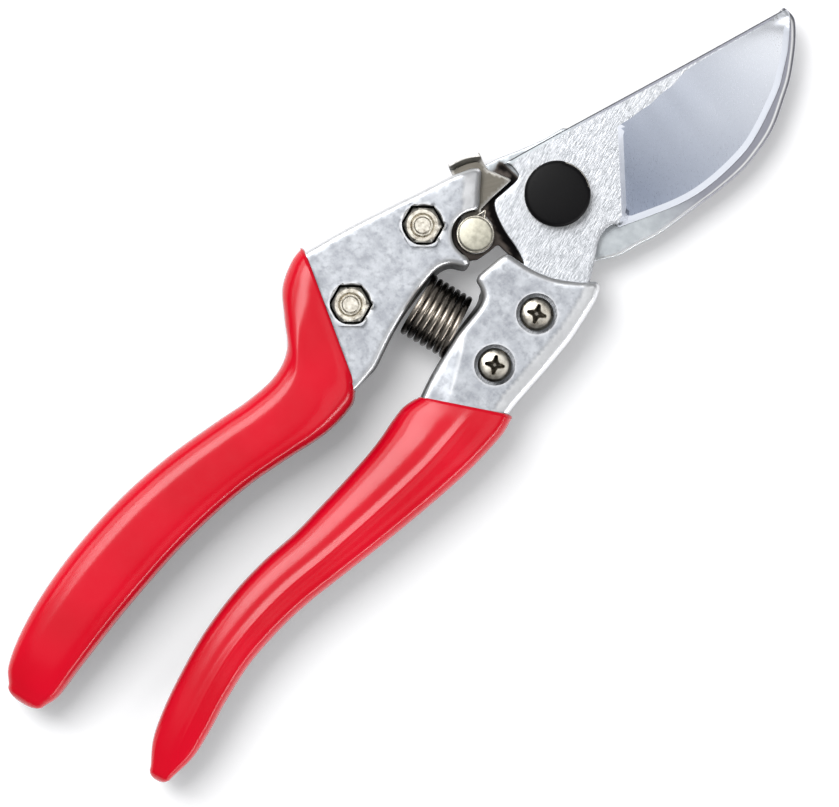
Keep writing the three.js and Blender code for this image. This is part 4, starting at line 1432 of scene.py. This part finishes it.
def pan_screw(x: float, y: float, turn: float, seat: float, end: float) -> tuple[Shell, Shell]:
    """A pan-head screw from its seat to its thread end, and the cutter of its cross recess.

    The cross is the loop whose radius follows a four-lobed curve; it narrows towards its floor.
    """
    side = 1.0 if seat > end else -1.0
    crown = 1.9
    head = [(2.0, 0.0), (3.3, 0.0), (3.38, 0.12), (3.38, 0.75), (3.3, 1.05), (3.1, 1.35), (2.75, 1.6),
            (2.2, 1.78), (1.4, 1.88), (0.7, crown), (0.0, crown)]
    shank = [(0.0, 0.0), (1.5, 0.0), (1.78, 0.3), (1.8, 0.7), (2.0, 0.9)]
    profile = [(r, end + side * h) for r, h in shank] + [(r, seat + side * h) for r, h in head]
    body = turned((0, 0), profile if side > 0 else profile[::-1], 64)
    arm, web, across = 2.0, 0.95, 0.46
    corner = [(arm, -across * 0.8), (arm + 0.12, 0.0), (arm, across * 0.8), (web, across + 0.06),
              (0.68, 0.68), (across + 0.06, web)]
    angles = [math.radians(90 * k) for k in range(4)]
    points = [(px * math.cos(a) - py * math.sin(a), px * math.sin(a) + py * math.cos(a))
              for a in angles for px, py in corner]
    face = seat + side * crown
    sizes = [(0.75, -1.5), (0.25, -0.9), (0.04, -0.1), (-0.05, 0.02), (-0.12, 0.6)]
    levels = [(inward, face + side * h) for inward, h in sizes]
    cross = plate(closed_loop([points], 0.14, 0.09), levels if side > 0 else levels[::-1])
    return body.moved((x, y, 0), turn), cross.moved((x, y, 0), turn)


@dataclass
class Fasteners:
    """The screws and nuts that hold the castings on the tangs."""

    blade_screws: Sequence[tuple[str, float, float, float]] = (
        ("front", *BLADE_SCREWS[0], 27.0), ("rear", *BLADE_SCREWS[1], 33.0),
    )
    hook_screws: Sequence[tuple[str, float, float, float]] = (
        ("front", *HOOK_SCREWS[0], 40.0), ("rear", *HOOK_SCREWS[1], 43.0),
    )
    flats: float = 7.0

    def build(self, finishes: Finishes) -> None:
        """Make the four screws and four nuts."""
        for where, x, y, turn in self.blade_screws:
            self.screw(f"blade_screw_{where}", Body.BLADE_SIDE, pan_screw(x, y, turn, 12.85, 5.1), finishes)
            shell = nut(x, y, self.flats, turn, 5.85, 8.45, 2.0)
            place_nickel(f"blade_nut_{where}", "hexagon", shell, Body.BLADE_SIDE, finishes, 25)
        for where, x, y, turn in self.hook_screws:
            self.screw(f"hook_screw_{where}", Body.HOOK_SIDE, pan_screw(x, y, turn, 5.05, 14.4), finishes)
            shell = nut(x, y, self.flats, turn, 11.55, 14.15, 2.05)
            place_nickel(f"hook_nut_{where}", "hexagon", shell, Body.HOOK_SIDE, finishes, 25)

    def screw(self, node: str, body: Body, shells: tuple[Shell, Shell], finishes: Finishes) -> None:
        """Cut a screw's recess and dress it."""
        piece = make_piece(f"{node}_body", shells[0], 28)
        cut(piece, [shells[1]], 28)
        height = shells[0].verts[:, 2]
        high, low = height.max(), height.min()
        middle = shells[0].verts[:, :2].mean(axis=0)

        def painted_shade(p: Array) -> Array:
            """Painted shade in the cross recess, at whichever end the head is."""
            depth = high - p[:, 2] if body is Body.BLADE_SIDE else p[:, 2] - low
            near = np.hypot(p[:, 0] - middle[0], p[:, 1] - middle[1]) < 2.3
            return np.where(near & (depth > 0.5) & (depth < 1.7), 0.7, 0.0)

        # painted shade inside the cross recess
        point_values(piece, "painted_shade", painted_shade)
        place(piece, body, "nickel_plate", finishes.nickel, node)


@dataclass
class PivotSet:
    """The pivot bolt with its collar, black cap, washer and nut."""

    cap_radius: float = 6.62
    cap_flat: float = 0.27
    bolt_radius: float = 4.0

    def cap(self) -> Shell:
        """The cap: a low dome whose outline has a shallow flat facing the spine."""
        angle = np.linspace(0, 360, 240, endpoint=False)
        dip = smoothstep(50, 57, angle) * (1 - smoothstep(118, 123, angle))
        radius = self.cap_radius - self.cap_flat * dip
        ring = np.c_[radius * np.cos(np.radians(angle)), radius * np.sin(np.radians(angle))]

        def dome(xy: Array) -> Array:
            """Fall of the dome from its middle."""
            return 0.45 * (np.hypot(xy[:, 0], xy[:, 1]) / self.cap_radius) ** 2.4

        return plate(ring, rounded(12.7, 15.75, 0.15, 0.75, 6), dome, (), 0.8)

    def build(self, finishes: Finishes) -> None:
        """Make the five pieces."""
        cap = make_piece("pivot_cap_dome", self.cap(), 60)
        place(cap, Body.HOOK_SIDE, "black_plastic", finishes.nylon, "pivot_cap")
        r = self.cap_radius
        collar = [(0, 11.55), (r - 0.12, 11.55), (r, 11.65), (r, 12.5), (r - 0.12, 12.65), (0, 12.65)]
        place_nickel("pivot_collar", "disc", turned((0, 0), collar, 96), Body.HOOK_SIDE, finishes)
        r = self.bolt_radius
        bolt = [(0, 0.35), (0.9, 0.3), (1.1, 0.0), (r - 0.55, 0.0), (r - 0.1, 0.45), (r - 0.35, 0.6),
                (r, 0.75), (r, 12.66), (5.6, 12.7), (5.6, 14.0), (0, 14.1)]
        place_nickel("pivot_bolt", "shank", turned((0, 0), bolt, 72), Body.HOOK_SIDE, finishes)
        washer = [(0, 4.15), (7.35, 4.15), (7.5, 4.3), (7.5, 5.05), (0, 5.05)]
        place_nickel("pivot_washer", "disc", turned((0, 0), washer, 96), Body.HOOK_SIDE, finishes)
        shell = nut(0, 0, 12.0, 15, -4.1, -0.9, r)
        shell = Shell(shell.verts * np.array([1, 1, -1]), shell.faces).flipped()
        place_nickel("pivot_nut", "hexagon", shell, Body.HOOK_SIDE, finishes, 25)


@dataclass
class ThumbLatch:
    """The thumb latch: a stamped plate with a bent-up tab, its pin and washer, and its hair spring."""

    nose: Points = ((-8.65, -4.2), (-8.9, -4.12), (-9.55, -4.32))
    upper: Points = ((-11.75, -5.15), (-13.3, -5.8), (-15.2, -5.35), (-17.05, -4.6))
    tab: Points = ((-18.3, -6.05), (-19.2, -7.5), (-19.85, -9.1), (-20.2, -10.45))
    lower: Points = ((-19.4, -10.95), (-18.5, -11.3), (-14.2, -12.9), (-11.2, -15.8), (-10.2, -18.6))
    edge: Points = ((-5.4, -13.1), (-9.05, -12.75), (-9.0, -9.2), (-8.62, -4.8))
    top: float = 12.7
    sheet_top: float = 10.2
    bend: tuple[float, float, float] = (0.8, 1.25, 1.7)

    def tab_rim(self) -> Array:
        """The tab's outer edge as a fine polyline."""
        return smooth_curve([self.upper[-1], *self.tab], 30)

    def relief(self, xy: Array) -> Array:
        """Depth below the tab's top: the tab's width stays, then a bend falls to the sheet."""
        off = distance_to(self.tab_rim(), xy)
        return (self.top - self.sheet_top) * smoothstep(self.bend[0], self.bend[-1], off)

    def wire(self) -> Array:
        """Path of the hair spring: two turns round the pin, then a hairpin on the plate's edge."""
        px, py = LATCH_PIN
        angle = np.radians(np.linspace(-160, 490, 90))
        coil = np.c_[px + 2.4 * np.cos(angle), py + 2.4 * np.sin(angle), np.linspace(10.65, 11.1, 90)]
        leg = smooth_curve([coil[-1], (-8.72, -14.35, 11.1), (-8.5, -13.1, 11.1), (-8.28, -12.3, 11.1),
                            (-8.0, -12.55, 11.1), (-7.35, -13.5, 11.1), (-6.9, -14.5, 11.0)], 40)
        return np.vstack([coil, leg[1:]])

    def build(self, finishes: Finishes) -> None:
        """Make the four pieces."""
        loop = closed_loop(
            [self.nose, smooth_curve(self.upper, 30), smooth_curve(self.tab, 24),
             smooth_curve(self.lower, 40), arc(LATCH_PIN, 3.9, 205, 395, 40), self.edge],
            0.18, 0.1,
        )
        rim = self.tab_rim()[3:-4]
        bends = [np.c_[rim[:, 0] + d, rim[:, 1] - 0.45 * d] for d in self.bend]
        shell = plate(loop, rounded(8.7, self.top, 0.12, 0.22, 3), self.relief, bends, 0.6)
        plate_piece = make_piece("latch_plate_sheet", shell, 35)
        ring = np.vstack([loop, loop[:1]])

        def bright(p: Array) -> Array:
            """Painted highlight: the stamped edges, the tab's top and, less, its bend."""
            edge = 1 - smoothstep(0.1, 0.3, distance_to(ring, p))
            tab = 0.8 * smoothstep(10.3, 10.8, p[:, 2])
            return np.where(p[:, 2] > 9.6, np.maximum(edge, tab), 0)

        # painted highlight on the stamped edges, the tab's top and its bend
        point_values(plate_piece, "rim", bright)
        place(plate_piece, Body.LATCH, "stainless_sheet", finishes.sheet, "latch_plate")
        head = [(0, 4.5), (2.25, 4.5), (2.4, 4.65), (2.4, 5.05), (1.6, 5.06), (1.6, 11.9), (3.38, 11.9),
                (3.42, 11.95), (3.42, 13.6), (3.36, 13.75), (3.2, 13.86), (3.0, 13.9), (0, 13.9)]
        pin = make_piece("latch_pin_head", turned(LATCH_PIN, head, 80), 30)
        place(pin, Body.HOOK_SIDE, "nickel_plate", finishes.pin, "latch_pin")
        disc = [(0, 11.45), (3.7, 11.45), (3.78, 11.53), (3.78, 11.77), (3.7, 11.85), (0, 11.85)]
        place_nickel("latch_pin_washer", "disc", turned(LATCH_PIN, disc, 80), Body.HOOK_SIDE, finishes, 30)
        wire = make_piece("latch_spring_wire", tube(self.wire(), 0.2, np.array([0.0, 0.0, 1.0]), 10), 80)
        place(wire, Body.HOOK_SIDE, "spring_steel", finishes.nickel, "latch_spring")


@dataclass
class MainSpring:
    """The short coil spring between the handles; its end turns lean with the castings."""

    left: tuple[float, float] = (-5.4, -35.1)
    right: tuple[float, float] = (3.6, -33.2)
    lean: tuple[float, float] = (9.0, 13.5)
    coils: float = 6.5
    radius: float = 6.2
    wire: float = 0.6
    per_coil: int = 40

    def build(self, finishes: Finishes) -> None:
        """Make the coil: a circle carried along X from left to right in planes that lean by degrees."""
        t = np.linspace(0, 1, int(self.coils * self.per_coil) + 1)
        turn = 2 * math.pi * self.coils * t
        lean = np.radians(self.lean[0] + (self.lean[1] - self.lean[0]) * t)
        x = self.left[0] + (self.right[0] - self.left[0]) * t
        y = self.left[1] + (self.right[1] - self.left[1]) * t
        flat = self.radius * np.cos(turn)
        z = PARTING_PLANE + self.radius * np.sin(turn)
        path = np.c_[x - flat * np.sin(lean), y + flat * np.cos(lean), z]
        piece = make_piece("main_spring_coil", tube(path, self.wire, np.array([1.0, 0.2, 0.0]), 14), 80)
        piece.data.materials.append(finishes.spring)
        middle = (self.left[1] + self.right[1]) / 2
        # painted shade: darker away from the coil's middle line, across the spring
        point_values(piece, "painted_shade", lambda p: 0.92 * smoothstep(2.4, 5.6, np.abs(p[:, 1] - middle)))
        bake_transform(piece)
        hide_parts("main_spring")
        log.info("%s: %d faces, bends between the sides", piece.name, len(piece.data.polygons))


# ------------------------------------------------------------------ studio


@dataclass
class SoftBox:
    """A rectangular area light aimed at the shears."""

    name: str
    azimuth: float
    elevation: float
    distance: float
    size: tuple[float, float]
    radiance: float

    def build(self, target: Vector) -> None:
        """Hang the light; its power is radiance times area times pi."""
        light = bpy.data.lights.new(self.name, "AREA")
        light.shape = "RECTANGLE"
        light.size, light.size_y = self.size
        light.energy = self.radiance * self.size[0] * self.size[1] * math.pi
        a, e = math.radians(self.azimuth), math.radians(self.elevation)
        back = Vector((math.cos(a) * math.cos(e), math.sin(a) * math.cos(e), math.sin(e)))
        lamp = bpy.data.objects.new(self.name, light)
        lamp.location = target + back * self.distance
        lamp.rotation_euler = back.to_track_quat("Z", "Y").to_matrix().to_euler()
        bpy.context.scene.collection.objects.link(lamp)


@dataclass
class Studio:
    """A camera straight above the shears, soft boxes round them and a white table."""

    centre: tuple[float, float] = (8.5, -49.4)
    width: float = 167.8
    distance: float = 1200.0
    turn: float = 43.1
    aim: tuple[float, float, float] = (0.0, -40.0, 10.0)
    table_half: float = 2000.0
    table_level: float = -0.3
    table_colour: str = "#f6f6f7"
    table_glow: float = 0.14
    room_colour: str = "#f4f5f7"
    room_strength: float = 0.24
    boxes: Sequence[SoftBox] = (
        SoftBox("overhead_soft_box", 175, 72, 1.6, (1.9, 1.6), 0.44),
        SoftBox("key_soft_box", 174, 64, 1.8, (0.9, 0.9), 8.2),
        SoftBox("left_strip", 178, 36, 1.2, (0.9, 0.4), 3.4),
        SoftBox("fill_soft_box", 28, 58, 1.6, (1.1, 1.0), 1.1),
        SoftBox("right_strip", -8, 12, 0.8, (0.9, 0.08), 13.0),
    )

    def camera(self) -> None:
        """Make the camera; its picture's right side points at the turn angle from +X."""
        data = bpy.data.cameras.new("camera_above")
        data.sensor_width = 36.0
        data.lens = data.sensor_width * self.distance / self.width
        data.clip_start, data.clip_end = 0.05, 10.0
        camera = bpy.data.objects.new("camera_above", data)
        camera.location = (self.centre[0] * MM, self.centre[1] * MM, (BLADE_TOP + self.distance) * MM)
        camera.rotation_euler = (0.0, 0.0, math.radians(self.turn))
        bpy.context.scene.collection.objects.link(camera)
        bpy.context.scene.camera = camera

    def table(self) -> None:
        """Make the white table that the shears lie on."""
        half, level = self.table_half * MM, self.table_level * MM
        places = [(-half, -half, level), (half, -half, level), (half, half, level), (-half, half, level)]
        mesh = bpy.data.meshes.new("table")
        mesh.from_pydata(places, [], [(0, 1, 2, 3)])
        g = Graph("white_laminate_table")
        white = linear(self.table_colour)
        mesh.materials.append(
            g.dress(
                Base_Color=white,
                Roughness=0.8,
                Emission_Color=white,
                Emission_Strength=self.table_glow,
                Specular_IOR_Level=0.1,
            )
        )
        table = bpy.data.objects.new("table", mesh)
        bpy.context.scene.collection.objects.link(table)

    def build(self) -> None:
        """Make everything round the shears."""
        self.camera()
        self.table()
        target = Vector(self.aim) * MM
        for box in self.boxes:
            box.build(target)
        scene = bpy.context.scene
        world = bpy.data.worlds.new("pale_room")
        world.use_nodes = True
        background = world.node_tree.nodes["Background"]
        background.inputs["Color"].default_value = linear(self.room_colour)
        background.inputs["Strength"].default_value = self.room_strength
        scene.world = world
        scene.view_settings.view_transform = "Standard"


# ------------------------------------------------------------------ the whole


def main() -> None:
    """Build the shears and the studio round them."""
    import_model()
    finishes = Finishes()
    CuttingBlade().build(finishes)
    CounterBlade().build(finishes)
    hook_handle().build(finishes)
    blade_handle().build(finishes)
    Fasteners().build(finishes)
    PivotSet().build(finishes)
    ThumbLatch().build(finishes)
    MainSpring().build(finishes)
    Studio().build()


if __name__ == "__main__":
    logging.basicConfig(level=logging.INFO, format="%(name)s %(message)s")
    main()
